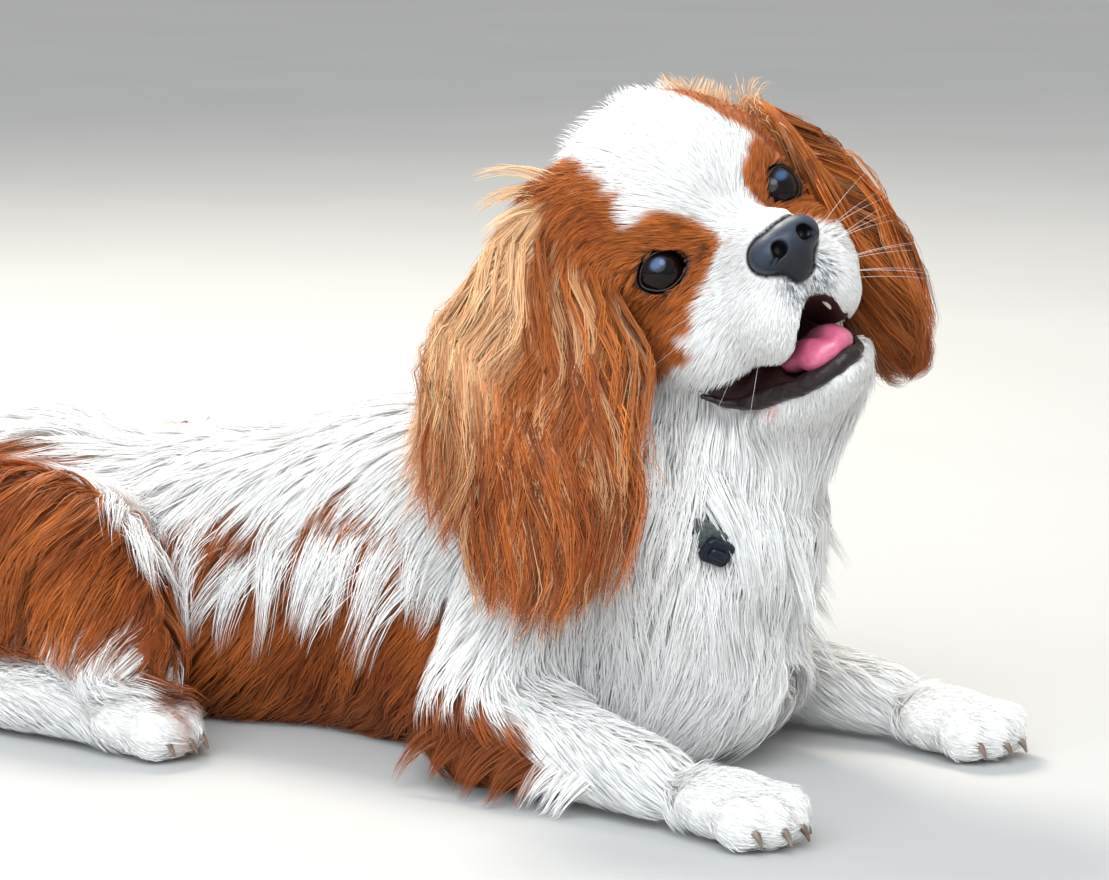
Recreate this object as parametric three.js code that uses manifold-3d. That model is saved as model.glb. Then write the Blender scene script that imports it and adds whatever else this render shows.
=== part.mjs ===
// A chestnut and white toy spaniel lying on its belly with its head tilted: a still, life-size model.
// Millimetres, +Z up. The dog faces +X, its left side is +Y, and it rests on the plane z = 0.
import * as THREE from 'three';
import { mergeVertices } from 'three/addons/utils/BufferGeometryUtils.js';
import Module from 'manifold-3d';

const wasm = await Module();
wasm.setup();

// Driving dimensions
const GAP = 0.3;                 // clearance between neighbouring nodes
const WITHERS = 148;             // height of the back over the shoulders
const LOIN = 111;                // lowest point of the back
const CHEST_HALF_WIDTH = 60;
const RUMP_X = -245;             // rearmost point of the body without the tail
const CHEST_X = 150;             // foremost point of the chest under its ruff
const TAIL_LENGTH = 190;
const HEAD_AT = [135.1, -32.9, 209.5];  // point between the eyeballs
const HEAD_TURN = -45.75;        // degrees to the dog's right
const HEAD_LIFT = 19.69;
const HEAD_TILT = 31.93;
const EYE_RADIUS = 10.3;
const EYE_OUT = 27.5;            // eyeball centre to the middle plane of the head
const EYE_SPLAY = 18;            // degrees that each eye looks outward
const EYE_OPENING = [19, 14];    // width and height between the lids
const LID_THICKNESS = 1.8;
const NOSE_AT = [44, 0, -19.5];  // middle of the nose leather, in the head's own frame
const MOUTH_CORNER = [-9, 41, -47];
const MOUTH_SLOPE = 0.43;        // fall of the mouth line towards the front

const COAT_WHITE = 0xf4efe8;
const COAT_CHESTNUT = 0xa4501f;
const NOSE_BLACK = 0x33363d;
const TONGUE_PINK = 0xd6688e;
const EYE_BLACK = 0x101216;
const COLLAR_GREY = 0x55615c;
const CLASP_BLUE = 0x1e2836;

const degrees = THREE.MathUtils.degToRad;
const vec = (x, y, z) => new THREE.Vector3(x, y, z);

// The head's own frame: x forward, y to its left, z up, with its origin between the eyeballs
const headMatrix = new THREE.Matrix4()
  .makeRotationZ(degrees(HEAD_TURN))
  .multiply(new THREE.Matrix4().makeRotationY(-degrees(HEAD_LIFT)))
  .multiply(new THREE.Matrix4().makeRotationX(degrees(HEAD_TILT)))
  .setPosition(...HEAD_AT);
const headInverse = headMatrix.clone().invert();
const headPoint = (x, y, z) => vec(x, y, z).applyMatrix4(headMatrix);
const headDirection = (x, y, z) => vec(x, y, z).transformDirection(headMatrix);

// Distance fields: each is a function of x, y, z, negative inside
function ball(centre, radii) {
  const [cx, cy, cz] = centre;
  const [rx, ry, rz] = radii;
  return (x, y, z) => {
    const px = x - cx;
    const py = y - cy;
    const pz = z - cz;
    const near = Math.hypot(px / rx, py / ry, pz / rz);
    const slope = Math.hypot(px / (rx * rx), py / (ry * ry), pz / (rz * rz));
    return near * (near - 1) / Math.max(slope, 1e-6);
  };
}

function limb(start, startRadius, end, endRadius) {
  const [ax, ay, az] = start;
  const bx = end[0] - ax;
  const by = end[1] - ay;
  const bz = end[2] - az;
  const square = bx * bx + by * by + bz * bz;
  return (x, y, z) => {
    const along = ((x - ax) * bx + (y - ay) * by + (z - az) * bz) / square;
    const t = Math.min(Math.max(along, 0), 1);
    const distance = Math.hypot(x - ax - t * bx, y - ay - t * by, z - az - t * bz);
    return distance - startRadius - t * (endRadius - startRadius);
  };
}

function blend(soft, ...parts) {
  return (x, y, z) => {
    let distance = parts[0](x, y, z);
    for (let i = 1; i < parts.length; i += 1) {
      const other = parts[i](x, y, z);
      const overlap = Math.max(soft - Math.abs(distance - other), 0) / soft;
      distance = Math.min(distance, other) - overlap * overlap * soft / 4;
    }
    return distance;
  };
}

function carve(soft, body, tool) {
  const outside = blend(soft, (x, y, z) => -body(x, y, z), tool);
  return (x, y, z) => -outside(x, y, z);
}

function inFrame(inverse, field) {
  const m = inverse.elements;
  return (x, y, z) => field(
    m[0] * x + m[4] * y + m[8] * z + m[12],
    m[1] * x + m[5] * y + m[9] * z + m[13],
    m[2] * x + m[6] * y + m[10] * z + m[14],
  );
}

const inHead = (field) => inFrame(headInverse, field);
const bothSides = (field) => (x, y, z) => field(x, Math.abs(y), z);

function slope(field, x, y, z, step = 0.2) {
  return vec(
    field(x + step, y, z) - field(x - step, y, z),
    field(x, y + step, z) - field(x, y - step, z),
    field(x, y, z + step) - field(x, y, z - step),
  ).multiplyScalar(0.5 / step);
}

// A closed surface of a field inside a box, by surface nets with each point moved onto the surface
function surface(field, low, high, cell, triangles) {
  const count = low.map((value, i) => Math.ceil((high[i] - value) / cell) + 1);
  const [nx, ny, nz] = count;
  const at = (i, j, k) => i + nx * (j + ny * k);
  const values = new Float64Array(nx * ny * nz);
  for (let k = 0; k < nz; k += 1) {
    for (let j = 0; j < ny; j += 1) {
      for (let i = 0; i < nx; i += 1) {
        const edge = i === 0 || j === 0 || k === 0 || i === nx - 1 || j === ny - 1 || k === nz - 1;
        const value = field(low[0] + i * cell, low[1] + j * cell, low[2] + k * cell);
        values[at(i, j, k)] = edge ? Math.max(value, cell / 2) : value;
      }
    }
  }
  const corners = [[0, 0, 0], [1, 0, 0], [0, 1, 0], [1, 1, 0], [0, 0, 1], [1, 0, 1], [0, 1, 1], [1, 1, 1]];
  const edges = [[0, 1], [2, 3], [4, 5], [6, 7], [0, 2], [1, 3], [4, 6], [5, 7], [0, 4], [1, 5], [2, 6], [3, 7]];
  const pointOf = new Map();
  const positions = [];
  for (let k = 0; k < nz - 1; k += 1) {
    for (let j = 0; j < ny - 1; j += 1) {
      for (let i = 0; i < nx - 1; i += 1) {
        const around = corners.map(([a, b, c]) => values[at(i + a, j + b, k + c)]);
        const inside = around.filter((value) => value < 0).length;
        if (inside > 0 && inside < 8) {
          const point = vec(0, 0, 0);
          let crossings = 0;
          for (const [p, q] of edges) {
            if ((around[p] < 0) !== (around[q] < 0)) {
              const t = around[p] / (around[p] - around[q]);
              point.x += corners[p][0] + t * (corners[q][0] - corners[p][0]);
              point.y += corners[p][1] + t * (corners[q][1] - corners[p][1]);
              point.z += corners[p][2] + t * (corners[q][2] - corners[p][2]);
              crossings += 1;
            }
          }
          point.multiplyScalar(1 / crossings).add(vec(i, j, k)).multiplyScalar(cell).add(vec(...low));
          for (let pass = 0; pass < 3; pass += 1) {
            const distance = field(point.x, point.y, point.z);
            const normal = slope(field, point.x, point.y, point.z);
            const move = THREE.MathUtils.clamp(-distance / Math.max(normal.lengthSq(), 0.2), -cell / 4, cell / 4);
            point.addScaledVector(normal, move);
          }
          pointOf.set(at(i, j, k), positions.length / 3);
          positions.push(point.x, point.y, point.z);
        }
      }
    }
  }
  const index = [];
  const position = (n) => vec(positions[3 * n], positions[3 * n + 1], positions[3 * n + 2]);
  const quad = (a, b, c, d) => {
    if (position(a).distanceTo(position(c)) < position(b).distanceTo(position(d))) {
      index.push(a, b, c, a, c, d);
    } else {
      index.push(a, b, d, b, c, d);
    }
  };
  const around = (i, j, k, u, v) => [
    pointOf.get(at(i, j, k)),
    pointOf.get(at(i - u[0], j - u[1], k - u[2])),
    pointOf.get(at(i - u[0] - v[0], j - u[1] - v[1], k - u[2] - v[2])),
    pointOf.get(at(i - v[0], j - v[1], k - v[2])),
  ];
  const axes = [[1, 0, 0], [0, 1, 0], [0, 0, 1]];
  for (let k = 0; k < nz - 1; k += 1) {
    for (let j = 0; j < ny - 1; j += 1) {
      for (let i = 0; i < nx - 1; i += 1) {
        for (let axis = 0; axis < 3; axis += 1) {
          const step = axes[axis];
          const here = values[at(i, j, k)] < 0;
          const there = values[at(i + step[0], j + step[1], k + step[2])] < 0;
          if (here !== there && [i, j, k].every((n, other) => other === axis || n > 0)) {
            const ring = around(i, j, k, axes[(axis + 1) % 3], axes[(axis + 2) % 3]);
            quad(...(here ? ring : ring.reverse()));
          }
        }
      }
    }
  }
  const geometry = new THREE.BufferGeometry();
  geometry.setAttribute('position', new THREE.Float32BufferAttribute(positions, 3));
  geometry.setIndex(index);
  return simplified(geometry, triangles);
}

// A heap of edges to collapse, cheapest first
class EdgeHeap {
  items = [];

  push(item) {
    const { items } = this;
    let n = items.push(item) - 1;
    while (n > 0) {
      const parent = (n - 1) >> 1;
      if (items[parent].cost <= items[n].cost) break;
      [items[parent], items[n]] = [items[n], items[parent]];
      n = parent;
    }
  }

  pop() {
    const { items } = this;
    const top = items[0];
    const last = items.pop();
    if (items.length > 0) {
      items[0] = last;
      let n = 0;
      for (;;) {
        let least = n;
        for (const child of [2 * n + 1, 2 * n + 2]) {
          if (child < items.length && items[child].cost < items[least].cost) least = child;
        }
        if (least === n) break;
        [items[least], items[n]] = [items[n], items[least]];
        n = least;
      }
    }
    return top;
  }
}

// The same closed surface with fewer triangles: edges collapse where that moves the surface least,
// down to a number of triangles, or as far as no point leaves the surface by more than a small distance
const SHORT_EDGE = 0.03;
function simplified(geometry, target, within = Infinity) {
  const place = geometry.getAttribute('position');
  const points = [];
  for (let i = 0; i < place.count; i += 1) {
    points.push(vec(place.getX(i), place.getY(i), place.getZ(i)));
  }
  const faces = [];
  const facesOf = points.map(() => new Set());
  const quadrics = points.map(() => new Float64Array(11));
  const source = geometry.getIndex();
  const faceNormal = (a, b, c) => vec(0, 0, 0).crossVectors(b.clone().sub(a), c.clone().sub(a));
  for (let i = 0; i < source.count; i += 3) {
    const face = [source.getX(i), source.getX(i + 1), source.getX(i + 2)];
    const normal = faceNormal(...face.map((n) => points[n]));
    const area = normal.length() / 2;
    normal.normalize();
    const offset = -normal.dot(points[face[0]]);
    const plane = [normal.x, normal.y, normal.z, offset];
    for (const n of face) {
      facesOf[n].add(faces.length);
      let slot = 0;
      for (let p = 0; p < 4; p += 1) {
        for (let q = p; q < 4; q += 1) {
          quadrics[n][slot] += area * plane[p] * plane[q];
          slot += 1;
        }
      }
      quadrics[n][slot] += area;
    }
    faces.push(face);
  }
  const stamp = new Uint32Array(points.length);
  const neighbours = (n) => {
    const found = new Set();
    for (const f of facesOf[n]) {
      for (const other of faces[f]) {
        if (other !== n) found.add(other);
      }
    }
    return found;
  };
  const error = (q, p) => q[0] * p.x * p.x + 2 * q[1] * p.x * p.y + 2 * q[2] * p.x * p.z + 2 * q[3] * p.x
    + q[4] * p.y * p.y + 2 * q[5] * p.y * p.z + 2 * q[6] * p.y
    + q[7] * p.z * p.z + 2 * q[8] * p.z + q[9];
  const heap = new EdgeHeap();
  const consider = (a, b) => {
    const q = quadrics[a].map((value, i) => value + quadrics[b][i]);
    const middle = points[a].clone().lerp(points[b], 0.5);
    const square = points[a].distanceToSquared(points[b]);
    let best = middle;
    const matrix = new THREE.Matrix3().set(q[0], q[1], q[2], q[1], q[4], q[5], q[2], q[5], q[7]);
    const size = q[0] + q[4] + q[7];
    if (matrix.determinant() > 1e-4 * size ** 3) {
      const exact = vec(-q[3], -q[6], -q[8]).applyMatrix3(matrix.clone().invert());
      if (exact.distanceToSquared(middle) < square) best = exact;
    }
    const misfit = Math.max(error(q, best), 0);
    const short = square < SHORT_EDGE ** 2;
    if (short || misfit < q[10] * within ** 2) {
      heap.push({ cost: misfit + 1e-3 * square, a, b, at: stamp[a] + stamp[b], best, short });
    }
  };
  points.forEach((point, a) => neighbours(a).forEach((b) => a < b && consider(a, b)));
  let left = faces.length;
  while (left > target && heap.items.length > 0) {
    const { a, b, at, best, short } = heap.pop();
    const fresh = facesOf[a].size > 0 && facesOf[b].size > 0 && stamp[a] + stamp[b] === at;
    if (fresh) {
      const nearB = neighbours(b);
      const shared = [...neighbours(a)].filter((n) => nearB.has(n));
      const moved = [...facesOf[a], ...facesOf[b]].filter((f) => !(faces[f].includes(a) && faces[f].includes(b)));
      const sound = short || moved.every((f) => {
        const before = faceNormal(...faces[f].map((n) => points[n]));
        const after = faceNormal(...faces[f].map((n) => (n === a || n === b ? best : points[n])));
        return before.dot(after) > 0.35 * before.length() * after.length() && after.length() > 1e-3;
      });
      if (shared.length === 2 && sound) {
        for (const f of [...facesOf[b]]) {
          if (faces[f].includes(a)) {
            faces[f].forEach((n) => facesOf[n].delete(f));
            faces[f] = null;
            left -= 1;
          } else {
            faces[f] = faces[f].map((n) => (n === b ? a : n));
            facesOf[a].add(f);
          }
        }
        facesOf[b].clear();
        points[a].copy(best);
        quadrics[a] = quadrics[a].map((value, i) => value + quadrics[b][i]);
        stamp[a] += 1;
        stamp[b] += 1;
        neighbours(a).forEach((n) => consider(a, n));
      }
    }
  }
  const kept = faces.filter(Boolean);
  const renumbered = new Map();
  const positions = [];
  const index = [];
  for (const n of kept.flat()) {
    if (!renumbered.has(n)) {
      renumbered.set(n, renumbered.size);
      positions.push(...points[n].toArray());
    }
    index.push(renumbered.get(n));
  }
  const result = new THREE.BufferGeometry();
  result.setAttribute('position', new THREE.Float32BufferAttribute(positions, 3));
  result.setIndex(index);
  return result;
}

// Solids to cut and join, made from closed geometries with merged vertices
function solid(geometry) {
  const bare = geometry.clone();
  bare.deleteAttribute('normal');
  bare.deleteAttribute('uv');
  const merged = mergeVertices(bare, 1e-3);
  const vertProperties = new Float32Array(merged.getAttribute('position').array);
  const triVerts = new Uint32Array(merged.getIndex().array);
  return new wasm.Manifold(new wasm.Mesh({ numProp: 3, vertProperties, triVerts }));
}

function grown(geometry, by) {
  const larger = geometry.clone();
  larger.computeVertexNormals();
  const place = larger.getAttribute('position');
  const normal = larger.getAttribute('normal');
  for (let i = 0; i < place.count; i += 1) {
    place.setXYZ(
      i,
      place.getX(i) + by * normal.getX(i),
      place.getY(i) + by * normal.getY(i),
      place.getZ(i) + by * normal.getZ(i),
    );
  }
  return solid(larger);
}

function largest(whole) {
  const pieces = whole.decompose();
  return pieces.reduce((best, piece) => (piece.volume() > best.volume() ? piece : best));
}

// Everything on the far side of a plane, as one large box
const HALF_SPACE = 900;
function beyond(point, normal, gap = 0) {
  const box = new THREE.BoxGeometry(HALF_SPACE, HALF_SPACE, HALF_SPACE);
  box.translate(HALF_SPACE / 2 + gap, 0, 0);
  box.applyQuaternion(new THREE.Quaternion().setFromUnitVectors(vec(1, 0, 0), normal.clone().normalize()));
  box.translate(point.x, point.y, point.z);
  return solid(box);
}

const group = new THREE.Group();

// Where a surface touches itself at a point, its two corners there are drawn apart, each into the solid
function drawnApart(geometry, by) {
  geometry.computeVertexNormals();
  const place = geometry.getAttribute('position');
  const normal = geometry.getAttribute('normal');
  const found = new Map();
  for (let i = 0; i < place.count; i += 1) {
    const key = [place.getX(i), place.getY(i), place.getZ(i)].map((value) => Math.round(value / by)).join();
    found.set(key, [...(found.get(key) ?? []), i]);
  }
  for (const group of [...found.values()].filter((corners) => corners.length > 1)) {
    for (const i of group) {
      place.setXYZ(
        i,
        place.getX(i) - by * normal.getX(i),
        place.getY(i) - by * normal.getY(i),
        place.getZ(i) - by * normal.getZ(i),
      );
    }
  }
  return geometry;
}

// Names a solid's largest piece as a mesh, tidied, with what touches the floor set flat on it
const TIDY = 0.05;
function addNode(name, whole, color, roughness = 0.9) {
  const { vertProperties, triVerts } = largest(whole).getMesh();
  const raw = new THREE.BufferGeometry();
  raw.setAttribute('position', new THREE.Float32BufferAttribute(vertProperties, 3));
  raw.setIndex(Array.from(triVerts));
  const geometry = drawnApart(simplified(raw, 0, TIDY), 2 * TIDY);
  const place = geometry.getAttribute('position');
  for (let i = 0; i < place.count; i += 1) {
    if (place.getZ(i) < 2 * TIDY) place.setZ(i, 0);
  }
  geometry.computeVertexNormals();
  const mesh = new THREE.Mesh(geometry, new THREE.MeshStandardMaterial({ color, roughness, metalness: 0 }));
  mesh.name = name;
  group.add(mesh);
  return mesh;
}

// The head, in its own frame
const skull = ball([-28, 0, 13], [46, 46, 46]);
const forehead = ball([-4, 0, 18.5], [22, 31.5, 26]);
const cheeks = bothSides(ball([-14, 25, -26], [30.5, 20.4, 28]));
const muzzle = limb([7, 0, -13], 18.5, [33, 0, -19], 14);
const bridge = limb([9, 0, -7], 12, [39, 0, -13], 9);
const flews = bothSides(blend(6, ball([19, 13, -36], [22, 14, 19]), ball([28, 9, -33], [16, 11, 14])));
const jaw = blend(8, ball([9, 0, -68.5], [26, 17.5, 11]), ball([-8, 0, -66], [28, 30, 15]));
const mouthHollow = ball([24, 0, -52], [27, 16.5, 12.5]);
const headField = inHead(carve(
  3,
  blend(10, skull, forehead, cheeks, blend(7, muzzle, bridge, flews), jaw),
  mouthHollow,
));

// The neck and the trunk
const headEnd = headPoint(-48, 0, -34);
const throat = headPoint(-20, 0, -62);
const neckField = blend(
  20,
  limb([headEnd.x, headEnd.y, headEnd.z], 42, [74, 0, 98], 58),
  limb([throat.x, throat.y, throat.z], 26, [112, -8, 100], 42),
);
const ribs = ball([38, 0, WITHERS - 72], [112, CHEST_HALF_WIDTH + 4, 72]);
const breast = ball([CHEST_X - 48, -5, 74], [50, CHEST_HALF_WIDTH - 4, 62]);
const brisket = ball([45, 0, 30], [112, CHEST_HALF_WIDTH - 2, 40]);
const loins = limb([-20, 0, 78], 54, [-150, 0, LOIN - 47], 47);
const rump = ball([RUMP_X + 60, 0, 64], [60, 58, 57]);
const belly = ball([-95, 0, 32], [85, 54, 40]);
const trunkField = blend(18, ribs, breast, brisket, loins, rump, belly);
const bodyField = blend(16, trunkField, neckField);
const fleshField = blend(10, bodyField, headField);

// Planes that part the body
const NECK_TOP = { point: headPoint(-5, 0, -85), normal: vec(0.234, -0.427, 0.874).normalize() };
const NECK_ROOT = { point: vec(105, -5, 112), normal: vec(0.585, -0.05, 0.81).normalize() };
const floor = beyond(vec(0, 0, 0), vec(0, 0, 1));

function side(plane, sign) {
  return beyond(plane.point, plane.normal.clone().multiplyScalar(sign), GAP / 2);
}

// The mouth parts the jaw from the head along a plane through its corners, and behind them
const mouthPitch = Math.atan(MOUTH_SLOPE);
function jawRoom(extra) {
  const size = 160;
  const box = new THREE.BoxGeometry(size, size, size);
  box.translate(size / 2 - 24 - extra, 0, -size / 2 + extra);
  box.rotateY(mouthPitch);
  box.translate(MOUTH_CORNER[0], 0, MOUTH_CORNER[2]);
  box.applyMatrix4(headMatrix);
  return solid(box);
}

function placedInHead(geometry) {
  return geometry.clone().applyMatrix4(headMatrix);
}

// Eyes, each with a lid ball on the head that its opening is cut through
function eyeMatrix(sign) {
  return headMatrix.clone()
    .multiply(new THREE.Matrix4().makeTranslation(0, sign * EYE_OUT, 0))
    .multiply(new THREE.Matrix4().makeRotationZ(sign * degrees(EYE_SPLAY)));
}

function eyeball(sign, extra = 0) {
  return new THREE.SphereGeometry(EYE_RADIUS + extra, 14, 9).applyMatrix4(eyeMatrix(sign));
}

function lidBall(sign, extra = 0) {
  const lid = new THREE.SphereGeometry(EYE_RADIUS + LID_THICKNESS + extra, 16, 10);
  lid.scale(0.96, 1.06, 1);
  return solid(lid.applyMatrix4(eyeMatrix(sign)));
}

function eyeOpening(sign) {
  const [width, height] = EYE_OPENING;
  const shape = new THREE.Shape();
  shape.moveTo(-width / 2, 0);
  shape.quadraticCurveTo(-width / 4, height * 0.62, 0, height / 2);
  shape.quadraticCurveTo(width / 3, height * 0.4, width / 2, 0);
  shape.quadraticCurveTo(width / 4, -height * 0.56, 0, -height / 2);
  shape.quadraticCurveTo(-width / 3, -height * 0.5, -width / 2, 0);
  const opening = new THREE.ExtrudeGeometry(shape, { depth: 20, bevelEnabled: false, curveSegments: 4 });
  opening.rotateX(Math.PI / 2);
  opening.rotateZ(Math.PI / 2);
  return solid(opening.applyMatrix4(eyeMatrix(sign)));
}

// Nose leather with two nostrils and the groove between them
const nostril = bothSides(ball([NOSE_AT[0] + 8, 6.4, NOSE_AT[2] + 0.5], [5, 3, 2.6]));
const nostrilSlit = bothSides(limb([NOSE_AT[0] + 7, 8, NOSE_AT[2]], 1.3, [NOSE_AT[0] + 4, 13, NOSE_AT[2] - 3], 1.2));
const noseField = inHead(carve(
  1,
  blend(4, ball(NOSE_AT, [9.5, 13.5, 9]), ball([NOSE_AT[0] - 2, 0, NOSE_AT[2] + 2], [9, 14.5, 7.5])),
  blend(1, nostril, nostrilSlit),
));

// Tongue, lying in the mouth and over the lower lip a little to the dog's left
const tongueField = inHead(blend(
  5,
  ball([13, -1, -57.5], [19, 11.5, 5.5]),
  ball([26, 0, -60.5], [9.5, 10, 5]),
));

// Ears: each hangs from the side of the skull as a flap, in a frame of its own
function earFrame(base, down, outward) {
  const d = down.clone().normalize();
  const n = outward.clone().addScaledVector(d, -outward.dot(d)).normalize();
  const w = vec(0, 0, 0).crossVectors(d, n).normalize();
  return new THREE.Matrix4().makeBasis(w, d, n).setPosition(base);
}

const RIGHT_EAR = earFrame(vec(88, -50, 212), vec(-3, -38, -107), vec(0, -1, 0));
const LEFT_EAR = earFrame(vec(134, 2, 247), vec(27, 35, -88), headDirection(0, 1, 0));

// The outline that each ear's hair fills, and the leather flap inside it, in the ear's own frame:
// x across the ear, y down it, z out of the head
const ears = {
  ear_right: {
    side: -1,
    back: 1,
    matrix: RIGHT_EAR,
    middle: [2, 64, 1],
    bulge: 0,
    top: [13, -8],
    outline: blend(12, ball([5, 84, 2], [44, 58, 9]), ball([14, 28, 0], [27, 46, 8]), ball([-22, 112, 2], [38, 42, 9])),
    flap: blend(10, ball([4, 54, 1], [28, 42, 6.5]), ball([13, 20, 0], [21, 38, 6.5])),
  },
  ear_left: {
    side: 1,
    back: -1,
    matrix: LEFT_EAR,
    middle: [-8, 52, 11],
    bulge: 9,
    top: [-12, -14],
    outline: blend(14, ball([-6, 62, 11], [54, 60, 12]), ball([-6, 12, 8], [40, 40, 10])),
    flap: blend(10, ball([-8, 46, 15], [30, 40, 8]), ball([-12, 12, 8], [24, 32, 7])),
  },
};
for (const ear of Object.values(ears)) {
  ear.envelope = inFrame(ear.matrix.clone().invert(), ear.outline);
  ear.core = inFrame(ear.matrix.clone().invert(), ear.flap);
}

// Legs
function foreleg(side, shoulder, elbow, wrist) {
  const upper = limb([shoulder[0], side * shoulder[1], shoulder[2]], 33, [elbow[0], side * elbow[1], elbow[2]], 25);
  const fore = limb([elbow[0], side * elbow[1], elbow[2]], 23, [wrist[0], side * wrist[1], wrist[2]], 15.5);
  return { upper, fore };
}

function paw(x, y, heading, length, width) {
  const ahead = vec(Math.cos(heading), Math.sin(heading), 0);
  const across = vec(-ahead.y, ahead.x, 0);
  const parts = [ball([x, y, 13], [length * 0.42, width * 0.5, 14])];
  for (const [out, reach] of [[-0.36, 0.3], [-0.13, 0.42], [0.13, 0.42], [0.36, 0.3]]) {
    const toe = vec(x, y, 11).addScaledVector(ahead, length * reach).addScaledVector(across, width * out);
    parts.push(ball([toe.x, toe.y, toe.z], [11, 8, 11.5]));
  }
  return blend(4, ...parts);
}

// Tail, lying on the ground behind the rump and curving to the left
const tailCurve = new THREE.CatmullRomCurve3([
  vec(RUMP_X + 25, 0, 52),
  vec(RUMP_X - 20, 4, 32),
  vec(RUMP_X - 65, 20, 17),
  vec(RUMP_X - TAIL_LENGTH * 0.58, 52, 13),
  vec(RUMP_X - TAIL_LENGTH * 0.7, 88, 12),
]);
const tailParts = [];
for (let i = 0; i < 5; i += 1) {
  const from = tailCurve.getPoint(i / 5);
  const to = tailCurve.getPoint((i + 1) / 5);
  tailParts.push(limb(from.toArray(), 17 - 2 * i, to.toArray(), 15 - 2 * i));
}
const tailField = blend(12, ...tailParts);

// Locks of hair: flat, tapered, bent along a path, with their broad faces turned to a given side
const LOCK_SIDES = 4;
const LOCK_SIZES = {
  wisp: { length: 27, width: 17, thickness: 4, rise: 9 },
  short: { length: 40, width: 19, thickness: 5, rise: 9 },
  medium: { length: 54, width: 22, thickness: 5.5, rise: 9 },
  long: { length: 68, width: 24, thickness: 6, rise: 10 },
};
let seed = 7;
function random(low, high) {
  seed = (seed * 1664525 + 1013904223) % 4294967296;
  return low + (high - low) * seed / 4294967296;
}

function lock(points, facing, width, thickness, steps = 5) {
  const curve = new THREE.CatmullRomCurve3(points);
  const hair = new THREE.ConeGeometry(1, 1, LOCK_SIDES, steps);
  const place = hair.getAttribute('position');
  for (let i = 0; i < place.count; i += 1) {
    const t = THREE.MathUtils.clamp(place.getY(i) + 0.5, 0, 1);
    const taper = t > 0.999 ? 0 : 1 / (1 - t);
    const fullness = Math.sqrt(1 - t) * (0.5 + 1.35 * t);
    const tangent = curve.getTangent(t);
    const across = vec(0, 0, 0).crossVectors(tangent, facing).normalize();
    const out = vec(0, 0, 0).crossVectors(across, tangent);
    const point = curve.getPoint(t)
      .addScaledVector(across, place.getX(i) * taper * fullness * width / 2)
      .addScaledVector(out, place.getZ(i) * taper * fullness * thickness / 2);
    place.setXYZ(i, point.x, point.y, point.z);
  }
  return solid(hair);
}

// Moves a point along a field's slope until it is at least so far outside
function lifted(point, field, want) {
  const short = want - field(point.x, point.y, point.z);
  if (short > 0) {
    point.addScaledVector(slope(field, point.x, point.y, point.z).normalize(), short);
  }
}

// Moves a point along a field's slope to a given height over it, most of the way where it floats
function laid(point, field, want) {
  const off = want - field(point.x, point.y, point.z);
  point.addScaledVector(slope(field, point.x, point.y, point.z).normalize(), off > 0 ? off : 0.6 * off);
}

// The path of a lock that starts inside its bed, comes out and lies over it under its own weight
const FLOOR_CLEARANCE = 0.6;
function strand({ root, heading, length, bed, rise, droop, sway, thickness, avoid = [], sink = 4 }) {
  const steps = 6;
  const start = root.clone();
  const normal = slope(bed, start.x, start.y, start.z).normalize();
  start.addScaledVector(normal, -sink - bed(start.x, start.y, start.z));
  const direction = heading.clone().normalize();
  const across = vec(0, 0, 0).crossVectors(direction, normal).normalize();
  const points = [start];
  const point = start.clone();
  for (let i = 1; i <= steps; i += 1) {
    const t = i / steps;
    direction.z -= droop / steps;
    direction.addScaledVector(across, sway * Math.cos(5 * t) / steps).normalize();
    point.addScaledVector(direction, length / steps);
    laid(point, bed, t * rise - (1 - t) * sink);
    avoid.forEach((field) => lifted(point, field, thickness / 2 + 1.5));
    point.z = Math.max(point.z, FLOOR_CLEARANCE + thickness / 2);
    points.push(point.clone());
  }
  return points;
}

function tuft(size, { steps = 4, ...shape }) {
  const { length, width, thickness, rise } = LOCK_SIZES[size];
  const points = strand({ rise, thickness, sway: random(-0.45, 0.45), ...shape, length: length * random(0.88, 1.12) });
  const middle = points[3];
  const facing = slope(shape.bed, middle.x, middle.y, middle.z).normalize();
  return lock(points, facing, width * random(0.88, 1.12), thickness, steps);
}

function joined(core, locks) {
  return locks.reduce((whole, piece) => whole.add(piece), core);
}

// The loose tuft that stands up where the left ear leaves the skull
function crownLocks() {
  return [-30, -20, -10, 0, 10].map((x) => tuft('wisp', {
    root: vec(x, -2, 10).applyMatrix4(LEFT_EAR),
    heading: vec(x / 60, -0.8, 0.9).transformDirection(LEFT_EAR),
    bed: ears.ear_left.core,
    rise: 11,
    droop: 0,
  }));
}

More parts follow.
